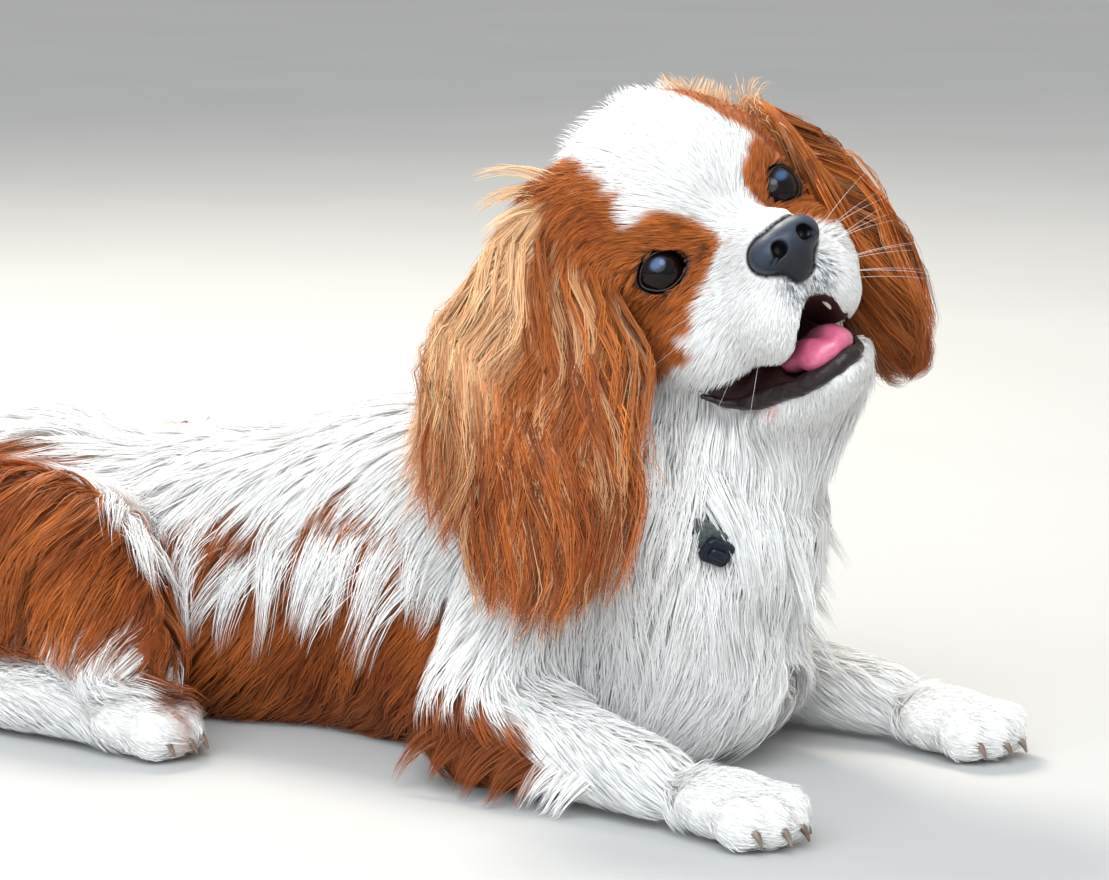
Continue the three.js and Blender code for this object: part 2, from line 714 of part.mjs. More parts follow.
// Ear hair in tiers: each lock leaves the flap below the ear's top and fans out to the ear's outline
function earLocks({ matrix, middle, bulge, top, outline, back }) {
  const locks = [];
  const centre = vec(...middle);
  const facing = vec(0, 0, 1).transformDirection(matrix);
  const tiers = [
    { count: 17, spread: 2, root: 0.42, tip: 1, height: 0 },
    { count: 11, spread: 1.6, root: 0.3, tip: 0.84, height: 5 },
    { count: 5, spread: 1.1, root: 0.12, tip: 0.6, height: 7 },
  ];
  for (const { count, spread, root, tip, height } of tiers) {
    for (let i = 0; i < count; i += 1) {
      const angle = spread * (2 * (i + 0.5) / count - 1) + random(-0.05, 0.05);
      const across = Math.sin(angle);
      const down = Math.cos(angle);
      let far = 10;
      while (outline(centre.x + far * across, centre.y + far * down, centre.z) < 0) far += 1;
      far *= tip * random(0.95, 1.03);
      const end = [centre.x + far * across, centre.y + far * down];
      const start = [top[0] + root * (end[0] - top[0]), top[1] + root * (end[1] - top[1])];
      const sway = random(-4, 4);
      const points = [0, 0.25, 0.5, 0.75, 1].map((t) => {
        const bow = Math.max(across * back, 0) * back * 5 * Math.sin(Math.PI * t) + sway * Math.sin(6 * t) * t;
        return vec(
          start[0] + t * (end[0] - start[0]) + bow,
          start[1] + t * (end[1] - start[1]),
          centre.z + (bulge + height) * Math.sin(Math.PI * Math.min(t + 0.2, 1)) + (i % 2 ? 1.5 : -1.5) * t,
        ).applyMatrix4(matrix);
      });
      locks.push(lock(points, facing, random(19, 25), 6, 4));
    }
  }
  return locks;
}

// Meshes of the plain flesh
const forelegRight = foreleg(-1, [72, 46, 82], [58, 74, 25], [146, 104, 17]);
const forelegLeft = foreleg(1, [72, 46, 82], [62, 74, 25], [166, 60, 17]);
const thigh = (side) => blend(
  14,
  ball([-158, side * 60, 56], [62, 34, 50]),
  limb([-130, side * 68, 62], 30, [-98, side * 80, 32], 24),
);
const hindFoot = (side) => limb([-182, side * 88, 17], 17, [-104, side * 98, 15], 14);
const geometries = {
  head: surface(fleshField, [40, -130, 120], [250, 50, 280], 4, 2350),
  neck: surface(fleshField, [0, -110, 40], [200, 80, 230], 8, 560),
  torso: surface(bodyField, [-270, -90, -30], [190, 90, 190], 10, 700),
  nose: surface(noseField, [120, -110, 160], [220, 0, 240], 1.8, 290),
  tongue: surface(tongueField, [110, -110, 110], [230, 10, 220], 2.2, 180),
  ear_right: surface(ears.ear_right.core, [-20, -130, 50], [180, 20, 270], 4, 200),
  ear_left: surface(ears.ear_left.core, [60, -60, 110], [230, 130, 300], 4, 200),
  tail: surface(tailField, [-430, -60, -20], [-190, 160, 100], 8, 240),
};
for (const [name, sign, leg, pawSpot] of [
  ['right', -1, forelegRight, [178, -110, degrees(-14)]],
  ['left', 1, forelegLeft, [196, 52, degrees(-12)]],
]) {
  geometries[`foreleg_upper_${name}`] = surface(leg.upper, [0, -150, -20], [160, 150, 150], 8, 160);
  geometries[`foreleg_${name}`] = surface(leg.fore, [0, -150, -20], [240, 150, 80], 7, 160);
  geometries[`forepaw_${name}`] = surface(paw(...pawSpot, 52, 38), [120, -160, -20], [250, 120, 50], 4, 240);
  geometries[`thigh_${name}`] = surface(thigh(sign), [-250, -140, -20], [-50, 140, 140], 8, 240);
  geometries[`hind_foot_${name}`] = surface(hindFoot(sign), [-230, -140, -20], [-60, 140, 60], 7, 120);
  geometries[`hind_paw_${name}`] = surface(
    paw(-84, sign * 100, degrees(-sign * 4), 46, 34),
    [-130, -150, -20],
    [-30, 150, 50],
    4,
    210,
  );
}

const blocks = {};
for (const [name, geometry] of Object.entries(geometries)) {
  blocks[name] = solid(geometry);
}
const clearances = {};
const clear = (name) => (clearances[name] ??= grown(geometries[name], 1.5 * GAP));

// The head with its sockets, lids and mouth
let head = blocks.head.intersect(side(NECK_TOP, 1));
let jawBlock = head.intersect(jawRoom(0));
head = head.subtract(jawRoom(GAP));
for (const sign of [-1, 1]) {
  head = head.add(lidBall(sign)).subtract(solid(eyeball(sign, GAP))).subtract(eyeOpening(sign));
  addNode(sign < 0 ? 'eye_right' : 'eye_left', solid(eyeball(sign)), EYE_BLACK, 0.08);
}
head = head.subtract(clear('nose'));
const tongueRoom = grown(geometries.tongue, 2 * GAP);
jawBlock = jawBlock.subtract(tongueRoom);
head = head.subtract(tongueRoom);
const tooth = new THREE.ConeGeometry(1.8, 12, 6).rotateX(-Math.PI / 2).translate(31, 5, -44);
head = head.add(solid(placedInHead(tooth)));
addNode('head', head, COAT_WHITE);
addNode('lower_jaw', jawBlock, COAT_WHITE);
addNode('nose', blocks.nose, NOSE_BLACK, 0.45);
addNode('tongue', blocks.tongue, TONGUE_PINK, 0.35);

for (const [name, shape] of Object.entries(ears)) {
  const locks = name === 'ear_left' ? [...earLocks(shape), ...crownLocks()] : earLocks(shape);
  let ear = joined(blocks[name], locks).subtract(lidBall(shape.side, GAP + 0.2));
  for (const inner of ['head', 'neck', 'torso', 'foreleg_upper_right', 'foreleg_upper_left']) {
    ear = ear.subtract(clear(inner));
  }
  addNode(name, ear, COAT_CHESTNUT);
}

// Collar, a flat band round the root of the neck, with a small clasp at its front
const collarFrame = new THREE.Matrix4()
  .makeRotationFromQuaternion(new THREE.Quaternion().setFromUnitVectors(vec(0, 0, 1), NECK_ROOT.normal))
  .setPosition(NECK_ROOT.point.clone().addScaledVector(NECK_ROOT.normal, 9));

function collarReach(angle) {
  const out = vec(Math.cos(angle), Math.sin(angle), 0).transformDirection(collarFrame);
  const start = vec(0, 0, 0).setFromMatrixPosition(collarFrame);
  let reach = 30;
  while (fleshField(start.x + reach * out.x, start.y + reach * out.y, start.z + reach * out.z) < 0.6) {
    reach += 0.5;
  }
  return reach;
}

function collarBand(extra) {
  const half = 5 + extra;
  const thick = 1.5 + extra;
  const profile = [[1, -1], [1, 1], [-1, 1], [-1, -1], [1, -1]].map(([r, z]) => new THREE.Vector2(100 + r * thick, z * half));
  const band = new THREE.LatheGeometry(profile, 40);
  band.rotateX(Math.PI / 2);
  const place = band.getAttribute('position');
  for (let i = 0; i < place.count; i += 1) {
    const angle = Math.atan2(place.getY(i), place.getX(i));
    const scale = (collarReach(angle) + Math.hypot(place.getX(i), place.getY(i)) - 100) / Math.hypot(place.getX(i), place.getY(i));
    place.setXY(i, place.getX(i) * scale, place.getY(i) * scale);
  }
  return solid(band.applyMatrix4(collarFrame));
}

addNode('collar', collarBand(0), COLLAR_GREY, 0.7);

function rounded(width, height, corner) {
  const x = width / 2 - corner;
  const y = height / 2 - corner;
  const outline = new THREE.Shape();
  [[x, y, 0], [-x, y, 90], [-x, -y, 180], [x, -y, 270]].forEach(([cx, cy, from]) => {
    outline.absarc(cx, cy, corner, degrees(from), degrees(from + 90), false);
  });
  return outline;
}

// The clasp's body and its raised bar, standing just off the band, a little below its middle
const CLASP_AT = degrees(-45);
const CLASP_SIZE = [12, 10.5];
function clasp(extra) {
  const [width, height] = CLASP_SIZE.map((size) => size + 2 * extra);
  const bevel = { bevelThickness: 0.6, bevelSize: 0.6, bevelSegments: 1, bevelOffset: -0.6, curveSegments: 3 };
  const body = new THREE.ExtrudeGeometry(rounded(width, height, 2.4), { depth: 2 + 2 * extra, ...bevel });
  const bar = new THREE.ExtrudeGeometry(rounded(width * 0.6, height * 0.4, 1.4), { depth: 1.2, ...bevel });
  bar.translate(0, 0, 2.2 + 2 * extra);
  const out = vec(Math.cos(CLASP_AT), Math.sin(CLASP_AT), 0);
  const across = vec(-out.y, out.x, 0);
  const place = new THREE.Matrix4().makeBasis(across, vec(0, 0, 1), out)
    .setPosition(out.clone().multiplyScalar(collarReach(CLASP_AT) + 2.6 - extra).add(vec(0, 0, -2)));
  place.premultiply(collarFrame);
  return solid(body.applyMatrix4(place)).add(solid(bar.applyMatrix4(place)));
}

addNode('collar_clasp', clasp(0).subtract(collarBand(GAP)), CLASP_BLUE, 0.4);

// Coat locks by place. A row lists the roots of its locks, and what they keep clear of.
const legFields = Object.fromEntries([['right', -1, forelegRight], ['left', 1, forelegLeft]].flatMap(
  ([name, sign, leg]) => [
    [`foreleg_upper_${name}`, leg.upper],
    [`foreleg_${name}`, leg.fore],
    [`thigh_${name}`, thigh(sign)],
    [`hind_foot_${name}`, hindFoot(sign)],
  ],
));
const bothEars = blend(0.01, ears.ear_right.envelope, ears.ear_left.envelope);
const allLegs = blend(0.01, ...Object.values(legFields));

function chestLocks() {
  const locks = [];
  for (const [height, spread, count, size] of [
    [108, 66, 6, 'long'], [86, 60, 6, 'long'], [64, 52, 5, 'medium'], [44, 44, 5, 'short'],
  ]) {
    for (let i = 0; i < count; i += 1) {
      const angle = degrees(spread * (2 * (i + 0.5) / count - 1) + random(-6, 6));
      locks.push(tuft(size, {
        root: vec(CHEST_X - 48 + 52 * Math.cos(angle), -5 + 56 * Math.sin(angle), height + random(-8, 8)),
        heading: vec(0, 0.3 * Math.sin(angle), -1),
        bed: bodyField,
        droop: 0.1,
        avoid: [allLegs, bothEars],
      }));
    }
  }
  return locks;
}

function flankLocks(sign) {
  const spots = [[-74, 70], [-46, 74], [-18, 77], [10, 79], [-66, 48], [-42, 50], [-16, 52], [8, 54]];
  return spots.map(([x, z]) => tuft('long', {
    root: vec(x, sign * 62, z + random(-6, 6)),
    heading: vec(-0.62, 0, -0.75),
    bed: bodyField,
    rise: 7,
    droop: 0.4,
    avoid: [allLegs],
  }));
}

function rumpLocks() {
  return [[-50, 62], [-30, 88], [30, 88], [50, 62], [-30, 50], [36, 48]].map(([y, z]) => tuft('short', {
    root: vec(RUMP_X + 12, y, z),
    heading: vec(-0.5, y / 120, -0.9),
    bed: bodyField,
    droop: 0.2,
    avoid: [allLegs, tailField],
  }));
}

// Distance to the outer face of the collar
function collarRoom(x, y, z) {
  const local = vec(x, y, z).applyMatrix4(collarFrame.clone().invert());
  const out = Math.hypot(local.x, local.y) - collarReach(Math.atan2(local.y, local.x));
  return Math.hypot(Math.max(out, 0), Math.max(Math.abs(local.z) - 5, 0)) - 3;
}

function neckLocks() {
  const locks = [];
  for (let i = 0; i < 10; i += 1) {
    const angle = degrees(-29 + 15 * i + random(-3, 3));
    const root = vec(56 * Math.cos(angle), 56 * Math.sin(angle), (i % 2 ? 20 : 32) + random(-4, 4));
    locks.push(tuft('medium', {
      root: root.applyMatrix4(collarFrame),
      heading: vec(0, 0, -1).transformDirection(collarFrame),
      bed: fleshField,
      rise: 15,
      droop: 0.1,
      avoid: [bothEars, collarRoom],
      sink: 3,
      steps: 5,
    }));
  }
  return locks;
}

function forearmLocks(sign, bed, elbow, wrist) {
  return [0.1, 0.3, 0.5, 0.7, 0.88].map((t) => {
    const root = vec(...elbow).lerp(vec(...wrist), t);
    root.y = sign * (root.y + 14);
    root.z = 14;
    return tuft('short', {
      root,
      heading: vec(-0.95, sign * 0.2, -0.12),
      bed,
      rise: 6,
      droop: 0.2,
      avoid: [bodyField, thigh(sign)],
    });
  });
}

function thighLocks(sign) {
  const rows = [[-200, 80], [-204, 56], [-186, 34], [-166, 96], [-158, 68], [-150, 40], [-124, 84], [-118, 54]];
  return rows.map(([x, z]) => tuft(z > 60 ? 'medium' : 'short', {
    root: vec(x, sign * 100, z),
    heading: vec(-0.75, sign * 0.1, -0.65),
    bed: thigh(sign),
    droop: 0.2,
    avoid: [hindFoot(sign), bodyField, tailField],
  }));
}

function tailLocks(low, high) {
  const locks = [];
  for (let t = 0.12; t < 1; t += 0.1) {
    const tangent = tailCurve.getTangent(t);
    const across = vec(-tangent.y, tangent.x, 0).normalize();
    for (const [sideways, up] of [[-1, 0], [1, 0], [-0.4, 0.8], [0.4, 0.8]]) {
      const wanted = up === 0 || Math.round(10 * t) % 2 === 0;
      const out = across.clone().multiplyScalar(sideways).add(vec(0, 0, up));
      if (wanted && t >= low && t < high) {
        locks.push(tuft(t > 0.3 ? 'long' : 'medium', {
          root: tailCurve.getPoint(t).addScaledVector(out, 9),
          heading: tangent.clone().addScaledVector(out, 0.35),
          bed: tailField,
          rise: 16,
          droop: 0.3,
          avoid: [bodyField],
        }));
      }
    }
  }
  return locks;
}

// Trunk and limbs. Each limb piece is cut clear of those before it, and its locks of all the others.
for (const [name, sign, elbow, wrist] of [
  ['right', -1, [58, 74, 25], [146, 104, 17]],
  ['left', 1, [62, 74, 25], [166, 60, 17]],
]) {
  const steps = ['hind_paw', 'hind_foot', 'thigh', 'forepaw', 'foreleg', 'foreleg_upper'].map((step) => `${step}_${name}`);
  const locks = {
    [`thigh_${name}`]: thighLocks(sign),
    [`foreleg_${name}`]: forearmLocks(sign, legFields[`foreleg_${name}`], elbow, wrist),
  };
  steps.forEach((step, i) => {
    const others = steps.filter((other) => other !== step);
    const cutClear = (block, names) => names.reduce((left, other) => left.subtract(clear(other)), block);
    const hair = (locks[step] ?? []).map((piece) => cutClear(piece, others));
    const block = joined(cutClear(blocks[step], steps.slice(0, i)), hair).intersect(floor);
    addNode(step, block, step.startsWith('thigh') ? COAT_CHESTNUT : COAT_WHITE);
  });
}
const neck = blocks.neck.intersect(side(NECK_TOP, -1)).intersect(side(NECK_ROOT, 1));
const coatedNeck = joined(neck, neckLocks()).subtract(collarBand(GAP)).subtract(clasp(GAP));
addNode('neck', coatedNeck, COAT_WHITE);
const TAIL_CUT = 0.45;
const tailCut = { point: tailCurve.getPoint(TAIL_CUT), normal: tailCurve.getTangent(TAIL_CUT) };
const tailBase = joined(blocks.tail.intersect(side(tailCut, -1)), tailLocks(0, TAIL_CUT - 0.2));
const tailEnd = joined(blocks.tail.intersect(side(tailCut, 1)), tailLocks(TAIL_CUT, 1));
addNode('tail_base', tailBase.intersect(floor).intersect(side(tailCut, -1)), COAT_WHITE);
addNode('tail_end', tailEnd.intersect(floor), COAT_WHITE);
let torso = joined(blocks.torso.intersect(side(NECK_ROOT, -1)), [...chestLocks(), ...flankLocks(-1), ...flankLocks(1), ...rumpLocks()]).intersect(floor);
for (const name of Object.keys(geometries).filter((name) => /leg|thigh|hind|paw|tail/.test(name))) {
  torso = torso.subtract(clear(name));
}
addNode('torso', torso.intersect(side(NECK_ROOT, -1)).subtract(clasp(GAP)), COAT_WHITE);

export default group;
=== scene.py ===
import math

import bpy
import numpy as np
from mathutils import Matrix, Vector, kdtree


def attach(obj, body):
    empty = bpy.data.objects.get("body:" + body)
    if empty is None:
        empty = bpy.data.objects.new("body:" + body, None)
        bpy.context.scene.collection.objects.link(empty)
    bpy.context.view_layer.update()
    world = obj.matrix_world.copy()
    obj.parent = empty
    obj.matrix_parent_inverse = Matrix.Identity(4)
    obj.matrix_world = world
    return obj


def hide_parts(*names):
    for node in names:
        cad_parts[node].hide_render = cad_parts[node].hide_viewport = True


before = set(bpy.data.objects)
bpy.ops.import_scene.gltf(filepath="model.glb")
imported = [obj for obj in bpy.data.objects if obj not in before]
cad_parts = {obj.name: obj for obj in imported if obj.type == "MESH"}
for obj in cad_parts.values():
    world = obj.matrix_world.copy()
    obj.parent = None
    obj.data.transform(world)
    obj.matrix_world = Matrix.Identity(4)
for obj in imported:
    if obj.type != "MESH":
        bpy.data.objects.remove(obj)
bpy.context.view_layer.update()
random = np.random.default_rng(7)
MM = 0.001

# Driving dimensions, as in the solids
WITHERS = 148
LOIN = 111
CHEST_HALF_WIDTH = 60
RUMP_X = -245
CHEST_X = 150
TAIL_LENGTH = 190
HEAD_AT = (135.1, -32.9, 209.5)
HEAD_TURN = -45.75
HEAD_LIFT = 19.69
HEAD_TILT = 31.93
EYE_RADIUS = 10.3
EYE_OUT = 27.5
EYE_SPLAY = 18
EYE_WIDTH = 19
EYE_HEIGHT = 14
NOSE_AT = (44, 0, -19.5)


# Distance fields: each takes points as rows and gives a distance for each, negative inside
def length(vectors):
    return np.sqrt(np.einsum("...i,...i->...", vectors, vectors))


def unit(vectors):
    vectors = np.asarray(vectors, float)
    return vectors / np.maximum(length(vectors), 1e-9)[..., None]


def ball(centre, radii):
    centre = np.array(centre, float)
    radii = np.array(radii, float)

    def field(points):
        scaled = (points - centre) / radii
        near = length(scaled)
        return near * (near - 1) / np.maximum(length(scaled / radii), 1e-6)

    return field


def limb(start, start_radius, end, end_radius):
    start = np.array(start, float)
    along = np.array(end, float) - start

    def field(points):
        t = np.clip((points - start) @ along / (along @ along), 0, 1)
        return length(points - start - t[..., None] * along) - start_radius - t * (end_radius - start_radius)

    return field


def blend(soft, *parts):
    def field(points):
        distance = parts[0](points)
        for part in parts[1:]:
            other = part(points)
            overlap = np.maximum(soft - np.abs(distance - other), 0) / soft
            distance = np.minimum(distance, other) - overlap * overlap * soft / 4
        return distance

    return field


def carve(soft, body, tool):
    outside = blend(soft, lambda points: -body(points), tool)
    return lambda points: -outside(points)


def sunk(depth, field):
    return lambda points: field(points) + depth


def folded(points):
    """The right side's points laid over the left side."""
    return points * (1, 0, 1) + np.abs(points) * (0, 1, 0)


def both_sides(field):
    return lambda points: field(folded(points))


class Frame:
    """A place and three axes, given as the columns of a matrix."""

    def __init__(self, origin, axes):
        self.origin = np.array(origin, float)
        self.axes = np.array(axes, float)

    def point(self, *local):
        return self.axes @ np.array(local, float) + self.origin

    def direction(self, local):
        return np.asarray(local, float) @ self.axes.T

    def points(self, local):
        return self.direction(local) + self.origin

    def local(self, points):
        return (points - self.origin) @ self.axes

    def field(self, inner):
        return lambda points: inner(self.local(points))


def turned(axis, degrees):
    return np.array(Matrix.Rotation(math.radians(degrees), 3, axis))


head_frame = Frame(HEAD_AT, turned("Z", HEAD_TURN) @ turned("Y", -HEAD_LIFT) @ turned("X", HEAD_TILT))


def ear_frame(base, down, outward):
    down = unit(down)
    outward = unit(np.array(outward) - down * (down @ np.array(outward)))
    return Frame(base, np.column_stack([np.cross(down, outward), down, outward]))


right_ear = ear_frame((88, -50, 212), (-3, -38, -107), (0, -1, 0))
left_ear = ear_frame((134, 2, 247), (27, 35, -88), head_frame.direction((0, 1, 0)))


def eye_frame(sign):
    axes = head_frame.axes @ turned("Z", sign * EYE_SPLAY)
    return Frame(head_frame.point(0, sign * EYE_OUT, 0), axes)


# The head, in its own frame: x forward, y to its left, z up, from the point between the eyes
skull = blend(2, ball((-28, 0, 13), (46, 46, 46)), ball((-32, 5, 17.5), (42, 42, 43)))
crown = ball((-40, 6, 24), (42, 42, 40))
forehead = ball((-4, 0, 18.5), (22, 31.5, 26))
cheeks = both_sides(ball((-14, 25, -26), (30.5, 20.4, 28)))
muzzle = limb((7, 0, -13), 18.5, (33, 0, -19), 14)
bridge = limb((9, 0, -7), 12, (39, 0, -13), 9)
flews = both_sides(blend(6, ball((19, 13, -36), (22, 14, 19)), ball((28, 9, -33), (16, 11, 14))))
jaw = blend(8, ball((9, -2.5, -68.5), (25.5, 15, 11)), ball((-8, -3, -66), (28, 27, 15)))

# Trunk and neck
neck_back = head_frame.point(-48, 0, -34)
throat = head_frame.point(-20, 0, -62)
neck = blend(20, limb(neck_back, 42, (74, 0, 98), 58), limb(throat, 26, (112, -8, 100), 42))
ribs = ball((38, 0, WITHERS - 72), (112, CHEST_HALF_WIDTH + 4, 72))
breast = ball((CHEST_X - 48, -5, 74), (50, CHEST_HALF_WIDTH - 4, 62))
brisket = ball((45, 0, 30), (112, CHEST_HALF_WIDTH - 2, 40))
loins = limb((-20, 0, 78), 54, (-150, 0, LOIN - 47), 47)
rump = ball((RUMP_X + 60, 0, 64), (60, 58, 57))
belly = ball((-95, 0, 32), (85, 54, 40))
trunk = blend(18, ribs, breast, brisket, loins, rump, belly)


# Legs and tail
def foreleg(side, shoulder, elbow, wrist):
    shoulder, elbow, wrist = (np.array(p) * (1, side, 1) for p in (shoulder, elbow, wrist))
    return limb(shoulder, 33, elbow, 25), limb(elbow, 23, wrist, 15.5)


def paw_axes(heading):
    ahead = np.array([math.cos(math.radians(heading)), math.sin(math.radians(heading)), 0])
    return ahead, np.array([-ahead[1], ahead[0], 0])


def paw(x, y, heading, long, wide):
    ahead, across = paw_axes(heading)
    parts = [ball((x, y, 13), (long * 0.42, wide * 0.5, 14))]
    for out, reach in TOES:
        toe = np.array([x, y, 11]) + ahead * long * reach + across * wide * out
        parts.append(ball(toe, (11, 8, 11.5)))
    return blend(4, *parts)


# Each toe's place across the paw and ahead of its middle, as shares of its width and length
TOES = ((-0.36, 0.3), (-0.13, 0.42), (0.13, 0.42), (0.36, 0.3))
upper_right, fore_right = foreleg(-1, (72, 46, 82), (58, 74, 25), (146, 104, 17))
upper_left, fore_left = foreleg(1, (72, 46, 82), (62, 74, 25), (166, 60, 17))
# Each paw's place on the floor, heading in degrees, length and width
paws = {
    "fore_right": (178, -110, -14, 52, 38),
    "fore_left": (196, 52, -12, 52, 38),
    "hind_right": (-84, -100, 4, 46, 34),
    "hind_left": (-84, 100, -4, 46, 34),
}
thighs = both_sides(blend(
    14,
    ball((-158, 60, 56), (62, 34, 50)),
    limb((-130, 68, 62), 30, (-98, 80, 32), 24),
))
hind_feet = both_sides(limb((-182, 88, 17), 17, (-104, 98, 15), 14))


# The skin lies under the coat, deepest where the coat is longest
EAR_OUTLINES = {
    "right": blend(
        12, ball((8, 72, 2), (50, 54, 9)), ball((24, 26, 0), (27, 48, 8)), ball((-24, 103, 2), (38, 43, 9)),
    ),
    "left": blend(14, ball((-6, 60, 13), (54, 57, 17)), ball((-6, 22, 16), (42, 46, 21))),
}
ear_flaps = blend(
    1,
    right_ear.field(blend(10, ball((4, 54, 1), (26, 40, 4)), ball((13, 20, 0), (19, 36, 4)))),
    left_ear.field(blend(10, ball((-8, 48, 13), (28, 38, 4)), ball((-12, 16, 8), (20, 22, 4)))),
)
tail_points = [
    (RUMP_X + 25, 0, 52), (RUMP_X - 20, 4, 32), (RUMP_X - 65, 20, 17),
    (RUMP_X - TAIL_LENGTH * 0.58, 52, 13), (RUMP_X - TAIL_LENGTH * 0.7, 88, 12),
]
tail_links = enumerate(zip(tail_points, tail_points[1:]))
tail = blend(8, *(limb(a, 11 - 1.6 * i, b, 9.4 - 1.6 * i) for i, (a, b) in tail_links))

EYES = {sign: eye_frame(sign) for sign in (-1, 1)}
lids = blend(1, *(eye.field(ball((-0.3, 0, 0), (11.8, 12.6, 12.2))) for eye in EYES.values()))
sockets = blend(1, *(eye.field(ball((0, 0, 0), (EYE_RADIUS + 0.2,) * 3)) for eye in EYES.values()))


def almond(margin):
    """The opening between the lids, in the frame of an eye: two arcs that meet at its corners."""
    half = EYE_WIDTH / 2
    rise = EYE_HEIGHT / 2
    radius = (half * half + rise * rise) / (2 * rise)

    def field(points):
        x, y, z = points[..., 0], points[..., 1], points[..., 2]
        arcs = [np.hypot(y, z - s * (rise - radius)) - radius for s in (-1, 1)]
        return np.maximum(np.maximum(*arcs) - margin, 4 - x)

    return field


def nose_form(points):
    x, _, z = NOSE_AT
    nostrils = both_sides(blend(
        1.5,
        ball((x + 9, 5.8, z + 0.4), (5.8, 2.9, 3.1)),
        limb((x + 8, 6.6, z - 0.6), 1.5, (x + 4.5, 12, z - 3.6), 0.8),
    ))
    groove = limb((x + 11, 0, z + 1), 0.7, (x + 4.5, 0, z - 15), 1.0)
    wings = both_sides(ball((x - 0.5, 8.3, z + 0.6), (8.6, 6.2, 6.6)))
    pad = blend(4, ball((x, 0, z + 1), (9.5, 10.5, 8)), wings, ball((x - 2.5, 0, z - 6.5), (7.5, 7, 7.2)))
    return carve(1.2, pad, blend(1, nostrils, groove))(points)


tongue_form = carve(
    4,
    blend(6, ball((11, -2, -55.5), (19, 11.5, 6.5)), ball((25, -2.5, -59.5), (10, 10.5, 6))),
    limb((4, -2, -47.5), 3.2, (38, -2.5, -53.5), 1.6),
)
nose_base = ball((NOSE_AT[0] - 6, 0, NOSE_AT[2] - 1), (8, 13, 9.5))
face = blend(
    10,
    sunk(1.2, skull),
    sunk(2.2, forehead),
    sunk(2.5, cheeks),
    blend(7, sunk(1, muzzle), sunk(0.8, bridge), sunk(1, flews), nose_base),
    sunk(1.5, jaw),
)
# The mouth's hollow, its slit back to the corners, and the groove under the nose
lip_slit = both_sides(blend(
    2, limb((28, 15, -58), 2.6, (6, 25, -56), 2.4), limb((6, 25, -56), 2.4, (-8, 40, -47.5), 1.0),
))
philtrum = limb((46, 0, -30), 0.7, (40, 0, -40), 0.9)
mouth = blend(3, ball((24, -2.5, -50), (27, 10.5, 10.5)), ball((22, -1.5, -57.5), (25, 15.5, 7)), lip_slit)

# The dark edge of the lower lip from the right corner of the mouth round its front to the left corner
LIP_RIGHT = np.array([
    (-9.5, -39.5, -46.5), (-8.5, -35, -53), (-5, -31, -57), (2, -26.2, -60), (10, -21.7, -62),
    (18, -17.2, -64.3), (26.7, -12, -65.4), (32, -5.4, -65.6), (32.5, -2, -65.2),
])
LIP_LINE = np.concatenate([LIP_RIGHT, (LIP_RIGHT[:-1] * (1, -0.74, 1) + (0, -1.5, 0))[::-1]])


def to_path(points, path):
    """Distance from each point to a path of short straight lengths."""
    best = np.full(len(points), np.inf)
    for start, end in zip(path, path[1:]):
        best = np.minimum(best, limb(start, 0, end, 0)(points))
    return best


def mouth_inside(points):
    """The bare flesh within the lips: the hollow, its back and the ledge above the lower lip. The skin paints
    it dark, partly its own dark flesh and partly painted shade.
    """
    ledge = to_path(points, LIP_LINE * (1, 0.88, 1) + (-1, 0, 5.3)) - 5.7
    corner = both_sides(limb((-6, 20, -54), 6, (-16, 31, -51), 4.5))(points)
    return np.minimum.reduce([mouth(points) - 0.4, ball((0, 0, -50), (17, 23, 9))(points), ledge, corner])


head = head_frame.field(carve(1.5, carve(2.5, face, mouth), philtrum))
head = carve(0.6, blend(2.5, head, sunk(0.4, lids)), sockets)
for eye in EYES.values():
    head = carve(0.8, head, eye.field(almond(0.7)))

legs = blend(
    9,
    sunk(5, blend(1, upper_right, upper_left)),
    sunk(4, blend(1, fore_right, fore_left)),
    sunk(6, thighs),
    sunk(4, hind_feet),
)
feet = blend(4, *(sunk(2, paw(*place)) for place in paws.values()))
body = blend(16, sunk(8, trunk), sunk(8, neck))
skin_form = blend(6, blend(8, body, head), legs, feet, tail, ear_flaps)


def slope(field, points, step=0.15):
    rise = [field(points + step * axis) - field(points - step * axis) for axis in np.eye(3)]
    return np.stack(rise, -1) / (2 * step)


def grid(low, count, cell):
    axes = [low[i] + cell * np.arange(count[i]) for i in range(3)]
    return np.stack(np.meshgrid(*axes, indexing="ij"), -1)


